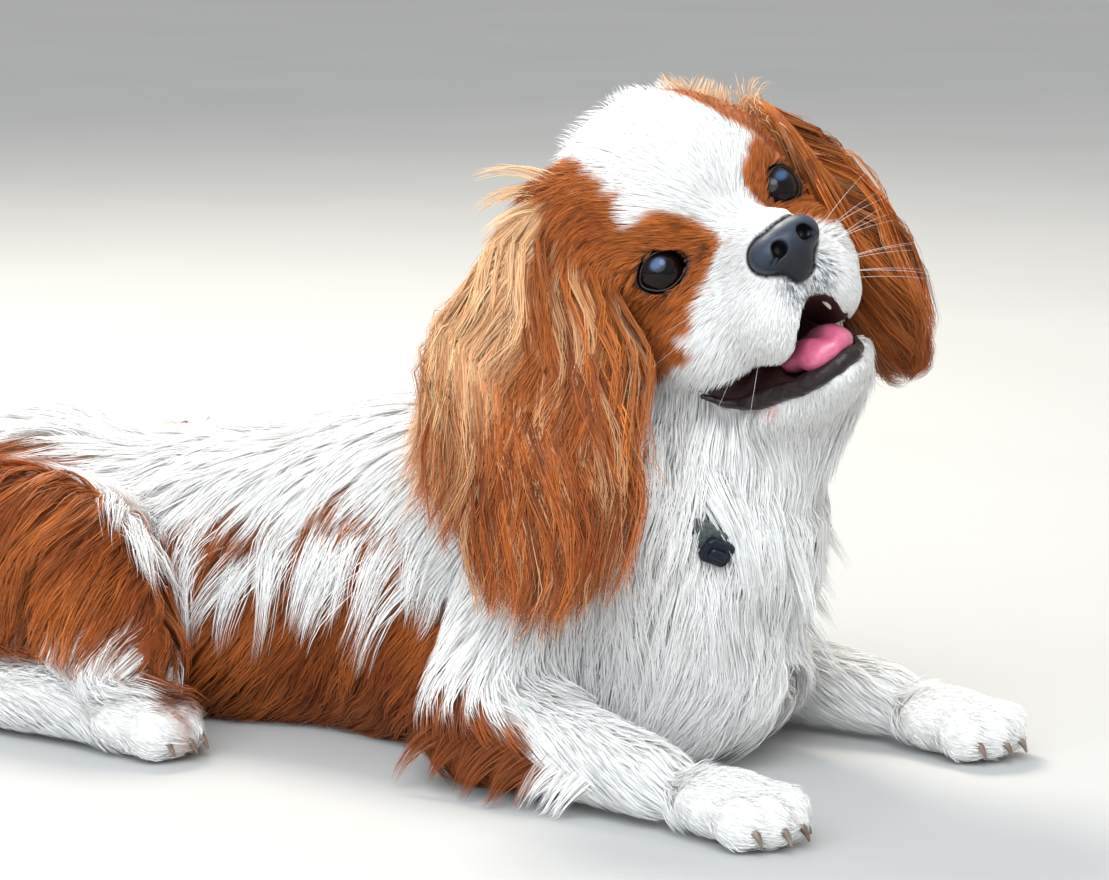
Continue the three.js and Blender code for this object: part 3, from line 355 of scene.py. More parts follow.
def surface(field, low, high, cell):
    """A closed surface of a field inside a box, by surface nets, as points and four-sided faces.

    The field is first sampled coarsely, and finely only in the blocks of cells near the surface.
    """
    low = np.array(low, float)
    count = np.ceil((np.array(high) - low) / cell).astype(int) + 1
    block = 4
    rough = grid(low, -(-count // block) + 1, block * cell)
    rough = field(rough.reshape(-1, 3)).reshape(rough.shape[:3])
    nearest = np.ix_(*((np.arange(n) + block // 2) // block for n in count))
    values = rough[nearest]
    near = np.argwhere(np.abs(values) < block * cell + 3)
    values[tuple(near.T)] = field(low + near * cell)
    for axis in range(3):
        for edge in (0, -1):
            border = [slice(None)] * 3
            border[axis] = edge
            values[tuple(border)] = np.maximum(values[tuple(border)], cell / 2)
    inside = values < 0
    corners = np.array([[i, j, k] for i in (0, 1) for j in (0, 1) for k in (0, 1)])
    nx, ny, nz = count - 1
    held = sum(inside[i:i + nx, j:j + ny, k:k + nz].astype(np.int8) for i, j, k in corners)
    cells = np.argwhere((held > 0) & (held < 8))
    around = [values[tuple((cells + corner).T)] for corner in corners]
    total = np.zeros((len(cells), 3))
    crossings = np.zeros(len(cells))
    for p in range(8):
        for q in range(p + 1, 8):
            if np.abs(corners[p] - corners[q]).sum() == 1:
                crossed = (around[p] < 0) != (around[q] < 0)
                t = np.where(crossed, around[p] / np.where(crossed, around[p] - around[q], 1), 0)
                total += crossed[:, None] * (corners[p] + t[:, None] * (corners[q] - corners[p]))
                crossings += crossed
    points = low + (cells + total / crossings[:, None]) * cell
    for _ in range(2):
        away = slope(field, points)
        move = -field(points) / np.maximum((away * away).sum(1), 0.2)
        points += away * np.clip(move, -cell / 4, cell / 4)[:, None]
    number = np.full(count - 1, -1, np.int64)
    number[tuple(cells.T)] = np.arange(len(cells))
    quads = []
    for axis in range(3):
        u = np.eye(3, dtype=int)[(axis + 1) % 3]
        v = np.eye(3, dtype=int)[(axis + 2) % 3]
        ahead = np.diff(inside.astype(np.int8), axis=axis)
        edges = np.argwhere(ahead != 0)
        others = [n for n in range(3) if n != axis]
        edges = edges[(edges[:, others] > 0).all(1) & (edges[:, others] < count[others] - 1).all(1)]
        ring = np.stack([number[tuple((edges - shift).T)] for shift in (0 * u, u, u + v, v)], 1)
        leaving = inside[tuple(edges.T)]
        quads.append(np.where(leaving[:, None], ring, ring[:, ::-1]))
    return points, np.concatenate(quads)


class Volume:
    """A field kept on a grid, for quick distances and outward directions."""

    def __init__(self, field, low, high, cell):
        self.low = np.array(low, float)
        self.cell = cell
        self.count = np.ceil((np.array(high) - self.low) / cell).astype(int) + 1
        points = grid(self.low, self.count, cell)
        values = field(points.reshape(-1, 3)).reshape(points.shape[:3])
        self.table = np.stack([values, *np.gradient(values, cell)], -1)

    def look(self, points):
        at = np.clip((points - self.low) / self.cell, 0, self.count - 1.001)
        whole = at.astype(int)
        part = at - whole
        found = 0
        for i in (0, 1):
            for j in (0, 1):
                for k in (0, 1):
                    share = np.prod(np.where((i, j, k), part, 1 - part), -1)
                    corner = self.table[whole[..., 0] + i, whole[..., 1] + j, whole[..., 2] + k]
                    found = found + share[..., None] * corner
        return found[..., 0], unit(found[..., 1:])


def make_mesh(name, points, *face_sets, smooth=True):
    mesh = bpy.data.meshes.new(name)
    mesh.vertices.add(len(points))
    mesh.vertices.foreach_set("co", (np.asarray(points) * MM).astype(np.float32).ravel())
    corners = np.concatenate([faces.ravel() for faces in face_sets])
    sizes = np.concatenate([np.full(len(faces), faces.shape[1]) for faces in face_sets])
    mesh.loops.add(len(corners))
    mesh.loops.foreach_set("vertex_index", corners.astype(np.int32))
    mesh.polygons.add(len(sizes))
    mesh.polygons.foreach_set("loop_start", (np.cumsum(sizes) - sizes).astype(np.int32))
    mesh.update(calc_edges=True)
    mesh.validate()
    mesh.polygons.foreach_set("use_smooth", np.full(len(sizes), smooth))
    piece = bpy.data.objects.new(name, mesh)
    bpy.context.scene.collection.objects.link(piece)
    return piece


def paint(piece, colours):
    layer = piece.data.color_attributes.new("tint", "FLOAT_COLOR", "POINT")
    opaque = np.column_stack([colours, np.ones(len(colours))])
    layer.data.foreach_set("color", opaque.astype(np.float32).ravel())


# Six views of the skin side by side, one for each way that it faces, as its unwrap
UNWRAP_ORIGIN = np.array([-440, -150, -10])
UNWRAP_SIZE = 720


def unwrap(points, normals):
    side = np.argmax(np.abs(normals), 1)
    facing = normals[np.arange(len(normals)), side] > 0
    scaled = np.clip((points - UNWRAP_ORIGIN) / UNWRAP_SIZE, 0, 1)
    u = np.where(side == 0, scaled[:, 1], scaled[:, 0])
    v = np.where(side == 2, scaled[:, 1], scaled[:, 2])
    return np.column_stack([(facing + u) / 2, (side + v) / 3])


def add_uv(piece, per_vertex):
    layer = piece.data.uv_layers.new(name="OFBake")
    corners = np.empty(len(piece.data.loops), np.int32)
    piece.data.loops.foreach_get("vertex_index", corners)
    layer.data.foreach_set("uv", per_vertex[corners].astype(np.float32).ravel())


def joined(name, parts):
    """One mesh from (points, faces) pairs."""
    shifts = np.cumsum([0] + [len(points) for points, _ in parts])
    faces = np.concatenate([quads + shift for (_, quads), shift in zip(parts, shifts)])
    return make_mesh(name, np.concatenate([points for points, _ in parts]), faces)


def ring_faces(rings, sides):
    """Four-sided faces between rings of points that follow each other."""
    k, s = np.meshgrid(np.arange(rings) * sides, np.arange(sides), indexing="ij")
    beside = (s + 1) % sides
    return np.stack([k + s, k + beside, k + sides + beside, k + sides + s], -1).reshape(-1, 4)


def dress(piece, material, slot, *nodes):
    piece.data.materials.append(material)
    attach(piece, "root")
    if nodes:
        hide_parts(*nodes)


# Colours, in linear light
WHITE = (0.93, 0.915, 0.89)
CREAM = (0.88, 0.56, 0.30)
ORANGE = (0.56, 0.155, 0.026)
CHESTNUT = (0.29, 0.058, 0.010)
UMBER = (0.075, 0.018, 0.007)
LEATHER = (0.008, 0.007, 0.008)
LIP = (0.022, 0.010, 0.010)
MOUTH_FLESH_IN_SHADE = (0.045, 0.012, 0.012)
PINK = (0.70, 0.30, 0.29)
GREY = (0.07, 0.085, 0.13)


def mix(base, other, share):
    share = np.clip(share, 0, 1)[..., None]
    return np.asarray(base) * (1 - share) + np.asarray(other) * share


def ramp(value, low, high):
    t = np.clip((value - low) / (high - low), 0, 1)
    return t * t * (3 - 2 * t)


def ripple(points, size, seed=0):
    """Smooth noise between -1 and 1 that changes over about the given size."""
    total = 0
    for n in range(4):
        turn = np.array([math.sin(1.7 * n + seed), math.cos(2.3 * n + seed), math.sin(3.1 * n + 2 * seed)])
        total = total + np.sin(points @ turn * (2 + 0.7 * n) * 2 / size + 5.1 * n + seed)
    return total / 4


# The dark strip from the inner corner of an eye towards the nose, in the eye's frame for the left side
INNER_CORNER = np.array([(7.6, -8, -0.8), (7.2, -11.5, -1.8), (6.2, -14.5, -3.0)])


def head_chestnut(local):
    """Signed distance to the edge of the chestnut on the head, negative inside, in the head's frame."""
    x, out, z = local[..., 0], np.abs(local[..., 1]), local[..., 2]
    patch = np.hypot((out - 33) / 21, (z + 1) / 24) * 21 - 21
    patch = np.maximum(patch, -(z + 4 + 0.8 * (out - 12)) * 0.78)
    blaze = 34 - 0.17 * np.maximum(z, 0) - 1.4 * np.maximum(-x - 46, 0)
    side = np.maximum(np.maximum(blaze - out, -(z + 33)), x - 4)
    return np.minimum(patch, side)


def head_colours(points):
    local = head_frame.local(points)
    mirrored = folded(local) * (1, -1, 1)
    noise = ripple(local, 9)
    within = -head_chestnut(local) + 2.2 * noise
    colours = mix(WHITE, ORANGE, ramp(within, -1.5, 2.0))
    deep = ramp(ripple(local, 26, 3) + 0.25 * noise, -0.1, 0.9)
    chestnut = ramp(within, 1, 7)
    colours = mix(colours, CHESTNUT, chestnut * (0.35 + 0.5 * deep))
    tear = to_path(mirrored, np.array([(15, -15.5, -2), (15, -20, -10), (13, -29, -17), (11, -36, -22)]))
    colours = mix(colours, UMBER, 0.85 * ramp(-tear, -5, -1) * chestnut)
    # Grey specks under the nose, and pink skin that shows on the chin
    under_nose = np.hypot(local[..., 1] / 16, (local[..., 2] + 35) / 12)
    speck = ramp(ripple(local, 3.2, 1) + ripple(local, 1.7, 4), -0.25, 0.5)
    colours = mix(colours, GREY, 0.95 * ramp(-under_nose, -1.15, -0.6) * speck * ramp(local[..., 0], 27, 33))
    chin = length((mirrored - (0, -27, -66)) / (12, 7, 5.5))
    colours = mix(colours, PINK, 0.55 * ramp(-chin, -1.2, -0.3) * ramp(ripple(local, 7, 2), -0.6, 0.2))
    return colours


def ear_colours(points, ear, sign, outline):
    """Chestnut, darker low down, with painted shade between the locks and a cream edge painted where the sun
    comes through.
    """
    local = ear.local(points)
    streak = ripple(local * (1, 0.12, 0.6), 6, 2) + 0.5 * ripple(local * (1, 0.1, 1), 2.6, 7)
    low = ramp(local[..., 1], 20, 130)
    colours = mix(ORANGE, CHESTNUT, 0.15 + 0.5 * low + 0.7 * streak)
    # Painted shade in the hollows between the locks, deeper low down
    colours = mix(colours, UMBER, (0.2 + 0.4 * low) * ramp(ripple(local * (1, 0.15, 1), 11, 5), 0.1, 0.7))
    edge = ramp(outline(local) + 5 * streak, -15, -1) * ramp(sign * local[..., 0], 4, 16)
    upper = ramp(-local[..., 1], -112, -30)
    return mix(colours, CREAM, edge * upper * (0.95 + 0.5 * streak))


def body_chestnut(points):
    """Signed distance to the edge of the chestnut on the body, negative inside."""
    rear = ball((-190, 60, 56), (60, 52, 52))
    thigh_patch = ball((-150, 84, 60), (72, 44, 62))
    flank = ball((-70, 62, 22), (122, 46, 58))
    rib = ball((-18, 56, 60), (36, 36, 33))
    elbow = ball((66, 88, 8), (46, 34, 25))
    return np.minimum.reduce([patch(folded(points)) for patch in (rear, thigh_patch, flank, rib, elbow)])


def body_colours(points):
    noise = 7 * ripple(points, 30) + 2.5 * ripple(points, 9, 2)
    chestnut = ramp(-body_chestnut(points) + noise, -3, 4)
    colours = mix(WHITE, ORANGE, chestnut)
    colours = mix(colours, CHESTNUT, chestnut * (0.55 + 0.4 * ripple(points, 40, 5)))
    low = ramp(-points[..., 2], -45, -12)
    colours = mix(colours, UMBER, 0.4 * chestnut * low)
    hock = ball((-120, 98, 10), (66, 34, 22))(folded(points))
    return mix(colours, WHITE, ramp(-hock + 0.4 * noise, -3, 3))


def coat_colours(points):
    on_head = ramp(-(head(points) - body(points)), -4, 4)
    return mix(body_colours(points), head_colours(points), on_head)


def skin_colours(points):
    """The same markings as the coat, with the lips and the lids dark, and the inside of the mouth dark both
    in its own colour and in painted shade.
    """
    at_head = head_frame.local(points)
    colours = coat_colours(points)
    for side, ear, sign in (("right", right_ear, 1), ("left", left_ear, -1)):
        local = ear.local(points)
        flap = np.hypot(local[..., 0] / 40, (local[..., 1] - 42) / 58)
        on_ear = ramp(-flap, -1.15, -0.95) * ramp(-np.abs(local[..., 2] - 5), -13, -10)
        colours = mix(colours, ear_colours(points, ear, sign, EAR_OUTLINES[side]), on_ear)
    # Inside the mouth, one dark colour for its flesh and the painted shade in it
    colours = mix(colours, MOUTH_FLESH_IN_SHADE, ramp(-mouth_inside(at_head), -1.4, -0.6))
    colours = mix(colours, LIP, ramp(-to_path(at_head, LIP_LINE), -3.9, -2.9))
    for sign, eye in EYES.items():
        ring = almond(0)(eye.local(points))
        near = ramp(-length(points - eye.origin), -14.8, -12.8)
        colours = mix(colours, UMBER, 0.8 * ramp(-ring, -4.5, -2.4) * near)
        colours = mix(colours, LEATHER, ramp(-ring, -1.9, -1.1) * near)
        inner = to_path(eye.local(points) * (1, sign, 1), INNER_CORNER)
        colours = mix(colours, LEATHER, ramp(-inner, -2.6, -1.4))
    return mix(colours, LEATHER, ramp(-nose_form(at_head), -1.6, -0.6))


# The lie of the coat: the way that hair points at each place, from the place and the way out of the skin
NOSE_TIP = head_frame.point(54, 0, -20)
HEAD_MIDDLE = head_frame.point(-26, 0, 0)


def from_nose(points, outward):
    away = unit(points - NOSE_TIP)
    eye_away = 0
    for eye in EYES.values():
        out = points - eye.origin
        eye_away = eye_away + unit(out) * np.exp(-(length(out) / 13) ** 2)[..., None] * 1.6
    return away + eye_away + (0, 0, -0.15)


def off_crown(points, outward):
    return unit(from_nose(points, outward)) + 0.6 * outward


def from_head(points, outward):
    return unit(points - HEAD_MIDDLE) + (0, 0, -0.5)


def towards(direction, flare=0.0):
    """One direction all over, turned to the side by a share of the skin's own slope."""
    return lambda points, outward: direction + outward * (0, flare, 0)


def along_back(points, outward):
    side = np.abs(outward[:, 1])
    return np.column_stack([-1 + 0.3 * side, 0.25 * outward[:, 1], -0.1 - 0.95 * side])


def down_thigh(points, outward):
    return (-0.45, 0, -0.8) + np.sign(points) * (0, 0.6, 0)


def along_foreleg(points, outward):
    right_side = points[:, 1] < 0
    axis = np.where(right_side[:, None], (0.93, -0.32, -0.12), (0.97, -0.13, -0.12))
    return axis + (0, 0, -0.25)


def along_tail(points, outward):
    bend = ramp(-points[:, 0], 260, 380)
    return np.column_stack([-1 + 0.5 * bend, 0.2 + 1.0 * bend, -0.1 + 0 * bend]) + 0.55 * outward


def down_ear(ear):
    def lie(points, outward):
        local = ear.local(points) - (4, -30, 0)
        return ear.direction(unit(local * (1, 1, 0.2)))

    return lie


down_chest = towards((0.1, 0, -1), 0.25)
down_shoulder = towards((-0.35, 0, -1), 0.1)
forward = towards((1, 0, -0.2))

# The coat by regions. A hair takes the mean of the regions near its root. Each has its field, the lie of
# its hair, and in millimetres the hair's length, the rise of its tip over the skin and its width. Then come
# the hairs on each square millimetre, their droop, and how closely they hug the skin.
TRAITS = ("length", "rise", "width", "density", "droop", "hug")
EAR_TRAITS = (14.0, 2.5, 0.6, 0.9, 0.4, 0.5)
snout = blend(4, bridge, muzzle, flews, jaw)
REGIONS = {
    "muzzle": (head_frame.field(snout), from_nose, 4.6, 0.7, 0.24, 4.6, 0, 0.9),
    "brow": (head_frame.field(forehead), from_nose, 6.0, 1.1, 0.24, 3.4, 0, 0.85),
    "cheek": (head_frame.field(cheeks), from_nose, 9.0, 2.0, 0.28, 2.6, 0.1, 0.75),
    "skull": (head_frame.field(skull), from_nose, 9.5, 2.0, 0.28, 2.6, 0.05, 0.8),
    "crown": (head_frame.field(crown), off_crown, 15.0, 6.0, 0.32, 1.45, 0.05, 0.35),
    "neck": (neck, from_head, 34.0, 10.0, 0.36, 0.62, 0.35, 0.45),
    "chest": (breast, down_chest, 48.0, 11.0, 0.4, 0.75, 0.5, 0.35),
    "back": (blend(10, ribs, loins), along_back, 32.0, 6.0, 0.42, 0.5, 0.15, 0.8),
    "belly": (blend(10, brisket, belly), along_back, 42.0, 8.0, 0.56, 0.185, 0.6, 0.5),
    "rump": (rump, along_back, 34.0, 7.5, 0.55, 0.34, 0.3, 0.7),
    "thighs": (thighs, down_thigh, 34.0, 6.0, 0.45, 0.42, 0.3, 0.7),
    "shoulders": (blend(1, upper_right, upper_left), down_shoulder, 28.0, 5.0, 0.5, 0.4, 0.2, 0.7),
    "forelegs": (blend(1, fore_right, fore_left), along_foreleg, 18.0, 3.2, 0.42, 0.75, 0.2, 0.8),
    "feet_hind": (hind_feet, forward, 12.0, 3.0, 0.42, 0.8, 0.1, 0.8),
    "feet": (feet, forward, 5.0, 1.0, 0.35, 1.2, 0.05, 0.9),
    "tail": (tail, along_tail, 46.0, 16.0, 0.52, 0.6, 0.3, 0.1),
    "ear_right": (right_ear.field(ball((6, 46, 1), (28, 50, 6))), down_ear(right_ear), *EAR_TRAITS),
    "ear_left": (left_ear.field(ball((-8, 40, 11), (28, 46, 6))), down_ear(left_ear), *EAR_TRAITS),
}


# Materials
def new_material(name, sockets):
    made = bpy.data.materials.new(name)
    made.use_nodes = True
    shader = made.node_tree.nodes["Principled BSDF"]
    for socket, value in sockets.items():
        shader.inputs[socket].default_value = value
    return made


def add_node(made, kind, **settings):
    node = made.node_tree.nodes.new(kind)
    for name, value in settings.items():
        if isinstance(value, (int, float)) and name in node.inputs:
            node.inputs[name].default_value = value
        else:
            setattr(node, name, value)
    return node


def add_texture(made, kind, **settings):
    """A texture in the space of the model, with its scale in waves a metre."""
    texture = add_node(made, kind, **settings)
    place = add_node(made, "ShaderNodeTexCoord")
    made.node_tree.links.new(place.outputs["Object"], texture.inputs["Vector"])
    return texture


def add_noise(made, scale, detail=4.0):
    return add_texture(made, "ShaderNodeTexNoise", Scale=scale, Detail=detail).outputs["Fac"]


def add_ramp(made, factor, stops):
    ramp_node = add_node(made, "ShaderNodeValToRGB")
    while len(ramp_node.color_ramp.elements) < len(stops):
        ramp_node.color_ramp.elements.new(0.5)
    for element, (place, colour) in zip(ramp_node.color_ramp.elements, stops):
        element.position = place
        element.color = (*colour, 1)
    made.node_tree.links.new(factor, ramp_node.inputs["Fac"])
    return ramp_node.outputs["Color"]


def to_shader(made, output, socket):
    made.node_tree.links.new(output, made.node_tree.nodes["Principled BSDF"].inputs[socket])


def add_bump(made, height, strength, depth):
    bump = add_node(made, "ShaderNodeBump", Strength=strength, Distance=depth)
    made.node_tree.links.new(height, bump.inputs["Height"])
    to_shader(made, bump.outputs["Normal"], "Normal")


def tinted(made, scale, low, high):
    """Base colour from the painted tint, varied by noise."""
    tint = add_node(made, "ShaderNodeAttribute", attribute_name="tint")
    shade = add_ramp(made, add_noise(made, scale), ((0.3, (low,) * 3), (0.7, (high,) * 3)))
    product = add_node(made, "ShaderNodeMix", data_type="RGBA", blend_type="MULTIPLY")
    product.inputs["Factor"].default_value = 1
    made.node_tree.links.new(tint.outputs["Color"], product.inputs["A"])
    made.node_tree.links.new(shade, product.inputs["B"])
    to_shader(made, product.outputs["Result"], "Base Color")


def flecked(name, sockets, scale, stops, bump=None):
    """Colours mixed by noise. A bump is the scale and detail of a noise, then its strength and depth."""
    made = new_material(name, sockets)
    to_shader(made, add_ramp(made, add_noise(made, scale), stops), "Base Color")
    if bump:
        grain, detail, strength, depth = bump
        add_bump(made, add_noise(made, grain, detail), strength, depth)
    return made


coat_material = new_material("coat", {"Roughness": 0.55, "Specular IOR Level": 0.22, "Sheen Weight": 0.05})
tinted(coat_material, 60, 0.9, 1.0)
skin_material = new_material("skin", {"Roughness": 0.62, "Specular IOR Level": 0.3})
tinted(skin_material, 300, 0.8, 1.0)
add_bump(skin_material, add_noise(skin_material, 900, 3), 0.6, 0.0006)
nose_material = new_material("nose_leather", {
    "Roughness": 0.45, "Specular IOR Level": 0.35, "Coat Weight": 0.05, "Coat Roughness": 0.3,
})
tinted(nose_material, 260, 0.7, 1.0)
pebbles = add_texture(nose_material, "ShaderNodeTexVoronoi", Scale=1500)
add_bump(nose_material, pebbles.outputs["Distance"], 0.3, -0.0002)
eye_material = new_material("eye", {
    "Roughness": 0.3, "Specular IOR Level": 0.0, "Coat Weight": 0.6, "Coat Roughness": 0.02, "Coat IOR": 1.45,
})
tinted(eye_material, 900, 0.7, 1.0)
tongue_material = flecked(
    "tongue",
    {"Roughness": 0.3, "Coat Weight": 0.6, "Coat Roughness": 0.15, "Subsurface Weight": 0.15,
     "Subsurface Radius": (0.004, 0.0015, 0.001)},
    220, ((0.3, (0.50, 0.085, 0.16)), (0.7, (0.66, 0.15, 0.26))), (1500, 2, 0.4, 0.0003),
)
lip_material = flecked(
    "lip",
    {"Roughness": 0.45, "Specular IOR Level": 0.35, "Coat Weight": 0.15, "Coat Roughness": 0.25},
    300, ((0.3, (0.006, 0.003, 0.004)), (0.75, (0.022, 0.010, 0.010))), (800, 3, 0.5, 0.0005),
)
enamel_material = flecked(
    "tooth", {"Roughness": 0.25, "Coat Weight": 0.4},
    200, ((0.3, (0.62, 0.56, 0.44)), (0.8, (0.74, 0.69, 0.58))),
)
claw_material = flecked(
    "claw", {"Roughness": 0.35, "Coat Weight": 0.2},
    250, ((0.3, (0.09, 0.055, 0.04)), (0.75, (0.30, 0.22, 0.17))),
)
whisker_material = flecked(
    "whisker", {"Roughness": 0.35}, 100, ((0.3, (0.75, 0.73, 0.7)), (0.8, (0.9, 0.89, 0.87))),
)


# The skin: two closed meshes that overlap under the ruff, so that the face is finer than the body
NECK_CUT = Frame((118, -6, 140), turned("Y", 36))
SKIN_CELL = 2.2
FACE_CELL = 1.15
OVERLAP = 4
BODY_BOX = ((-440, -152, -4), (240, 150, 236))
HEAD_BOX = ((48, -108, 98), (216, 78, 266))


def neck_side(points):
    return (points - NECK_CUT.origin) @ NECK_CUT.axes[:, 2]


def above_floor(field):
    return lambda points: np.maximum(field(points), 0.6 - points[..., 2])


on_floor = above_floor(skin_form)
head_points, head_quads = surface(
    lambda p: np.maximum(on_floor(p), -neck_side(p) - OVERLAP), *HEAD_BOX, FACE_CELL,
)
body_points, body_quads = surface(lambda p: np.maximum(on_floor(p), neck_side(p)), *BODY_BOX, SKIN_CELL)
fine = Volume(skin_form, *HEAD_BOX, 2.4)
coarse = Volume(skin_form, (-450, -190, -10), (250, 190, 290), 5)


def near_skin(points):
    """Distance to the skin and the way out from it."""
    distance, outward = coarse.look(points)
    at_head = ((points > HEAD_BOX[0]) & (points < HEAD_BOX[1])).all(-1)
    distance[at_head], outward[at_head] = fine.look(points[at_head])
    return distance, outward


def smooth_normals(points):
    return unit(slope(skin_form, points, 0.4))


# Growing the coat
THIN = 1.0
WIDEN = 1
HAIRS_TO_A_GUIDE = 14
GUIDE_STEPS = 8
GUIDE_SHADES = 0.16
STRAY = 0.022


def region_shares(points):
    distance = np.stack([region[0](points) for region in REGIONS.values()])
    shares = np.exp(-(distance - distance.min(0)) / 4)
    return shares / shares.sum(0)


def lie_at(points, outward, shares):
    total = np.zeros(points.shape)
    for share, region in zip(shares, REGIONS.values()):
        some = share > 0.02
        total[some] += share[some, None] * unit(region[1](points[some], outward[some]))
    return total


def traits_at(shares):
    table = np.array([region[2:] for region in REGIONS.values()])
    return dict(zip(TRAITS, (shares.T @ table).T))


def bare(points):
    """True where no hair grows: the eyes, the nose, the lips and the inside of the mouth."""
    local = head_frame.local(points)
    naked = (nose_form(local) < 0.8) | (mouth_inside(local) < 0.6)
    naked |= (to_path(local, LIP_LINE) < 3.4) & (local[..., 1] < 6)
    for sign, eye in EYES.items():
        at_eye = eye.local(points)
        naked |= (almond(0.3)(at_eye) < 0) & (length(at_eye) < 16)
        naked |= to_path(at_eye * (1, sign, 1), INNER_CORNER) < 1.7
    return naked


def scatter(points, quads, per_area):
    """Roots spread evenly over faces: as many on each as its area and the density there ask."""
    corners = points[quads]
    across = np.cross(corners[:, 2] - corners[:, 0], corners[:, 3] - corners[:, 1])
    total = np.cumsum(length(across) / 2 * per_area(corners.mean(1)))
    picked = np.searchsorted(total, np.arange(random.random(), total[-1]))
    a, b = random.random((2, len(picked), 1))
    first, second, third, fourth = corners[picked].transpose(1, 0, 2)
    return (first * (1 - a) + second * a) * (1 - b) + (fourth * (1 - a) + third * a) * b


def on_skin(roots):
    distance, outward = skin_form(roots), smooth_normals(roots)
    keep = (np.abs(distance) < 1.5) & ~bare(roots) & (roots[:, 2] > 1.5)
    return roots[keep], outward[keep]


# The collar's frame, with its axis along the neck, and the part of the strap that shows
COLLAR_NORMAL = unit(np.array((0.585, -0.05, 0.81)))
COLLAR = Frame(
    np.array((105, -5, 112)) + 9 * COLLAR_NORMAL,
    np.array(Vector((0, 0, 1)).rotation_difference(Vector(COLLAR_NORMAL)).to_matrix()),
)
STRAP_START, STRAP_END = math.radians(-52), math.radians(-40)
STRAP_FADE = 0.12
OVER_COLLAR = 13.5


def collar_lift(points):
    """How far over the skin the ruff must lie to hide the collar, except where its strap shows."""
    local = COLLAR.local(points)
    angle = np.arctan2(local[..., 1], local[..., 0])
    after_start = ramp(angle, STRAP_START - STRAP_FADE, STRAP_START)
    before_end = ramp(-angle, -STRAP_END - STRAP_FADE, -STRAP_END)
    return OVER_COLLAR * (1 - after_start * before_end) * ramp(-np.abs(local[..., 2]), -17, -9)


def grow(roots, outward, traits, steps):
    """Paths from the roots along the lie of the coat, as an array of (hairs, steps + 1, 3)."""
    paths = [roots]
    at = roots + outward * 0.1
    phase = 5 * ripple(roots, 45, 3)
    for step in range(1, steps + 1):
        t = step / steps
        distance, out = near_skin(at)
        shares = region_shares(at - out * np.maximum(distance, 0)[:, None])
        way = lie_at(at, out, shares)
        hug = traits["hug"][:, None]
        way = unit(way) - out * (unit(way) * out).sum(1)[:, None] * (0.35 + 0.65 * hug)
        way = unit(way) + (0, 0, -1) * (traits["droop"] * t)[:, None]
        across = np.cross(out, way)
        wave = np.sin(phase + t * 7) * np.minimum(traits["length"] / 40, 1) * 0.35
        way = unit(way + across * wave[:, None])
        at = at + way * (traits["length"] / steps)[:, None]
        distance, out = near_skin(at)
        height = np.maximum(traits["rise"] * (1 - (1 - t) ** 2) + 0.15, min(3 * t, 1) * collar_lift(at))
        lift = np.where(distance < height, height - distance, (height - distance) * traits["hug"] * 0.6)
        at = at + out * (np.where(distance < 0.2, height - distance, lift))[:, None]
        at[:, 2] = np.maximum(at[:, 2], 0.6 + 0.8 * random.random(len(at)))
        paths.append(at)
    return np.stack(paths, 1)


def nearest(roots, others):
    tree = kdtree.KDTree(len(others))
    for number, place in enumerate(others):
        tree.insert(place, number)
    tree.balance()
    return np.array([tree.find(place)[1] for place in roots])


def follow(roots, outward, guides, guide, traits, clump, steps):
    """Hairs that each follow a guide and draw together with it towards their tips."""
    t = np.linspace(0, 1, steps + 1)
    scale = (0.72 + 0.36 * random.random(len(roots)))
    at = t[None, :] * scale[:, None] * (guides.shape[1] - 1)
    low = np.minimum(at.astype(int), guides.shape[1] - 2)
    part = (at - low)[..., None]
    along = guides[guide[:, None], low] * (1 - part) + guides[guide[:, None], low + 1] * part
    offset = (roots - guides[guide, 0])[:, None, :] * (1 - clump * (t * scale[:, None]) ** 0.8)[..., None]
    paths = along + offset
    stray = random.normal(0, 1, (len(roots), 1, 3)) * (traits["length"] * STRAY)[:, None, None]
    paths = paths + stray * (t ** 1.5)[None, :, None]
    paths[:, 0] = roots - outward * 0.4
    flat = paths[:, 1:].reshape(-1, 3)
    distance, out = near_skin(flat)
    over_collar = np.tile(np.minimum(3 * t[1:], 1), len(roots)) * collar_lift(flat)
    least = np.maximum(0.3 + 0.3 * random.random(len(flat)), over_collar)
    flat = flat + out * np.maximum(least - distance, 0)[:, None]
    flat[:, 2] = np.maximum(flat[:, 2], 0.5)
    paths[:, 1:] = flat.reshape(len(roots), steps, 3)
    return paths


# The share of a hair's width at each ring from its root to the last before its tip, by the number of rings
TAPERS = {
    2: (0.9, 0.75),
    3: (0.8, 1, 0.6),
    4: (0.7, 1, 0.9, 0.5),
    5: (0.7, 1, 1, 0.8, 0.45),
    6: (0.65, 1, 1, 0.9, 0.7, 0.4),
}
# How dark a dark hair and a white one are at their roots, and how light every hair is at its tip
DARK_ROOT, PALE_ROOT, TIP_SHADE = 0.62, 0.95, 1.06
UNWRAP_PATCH = 0.003


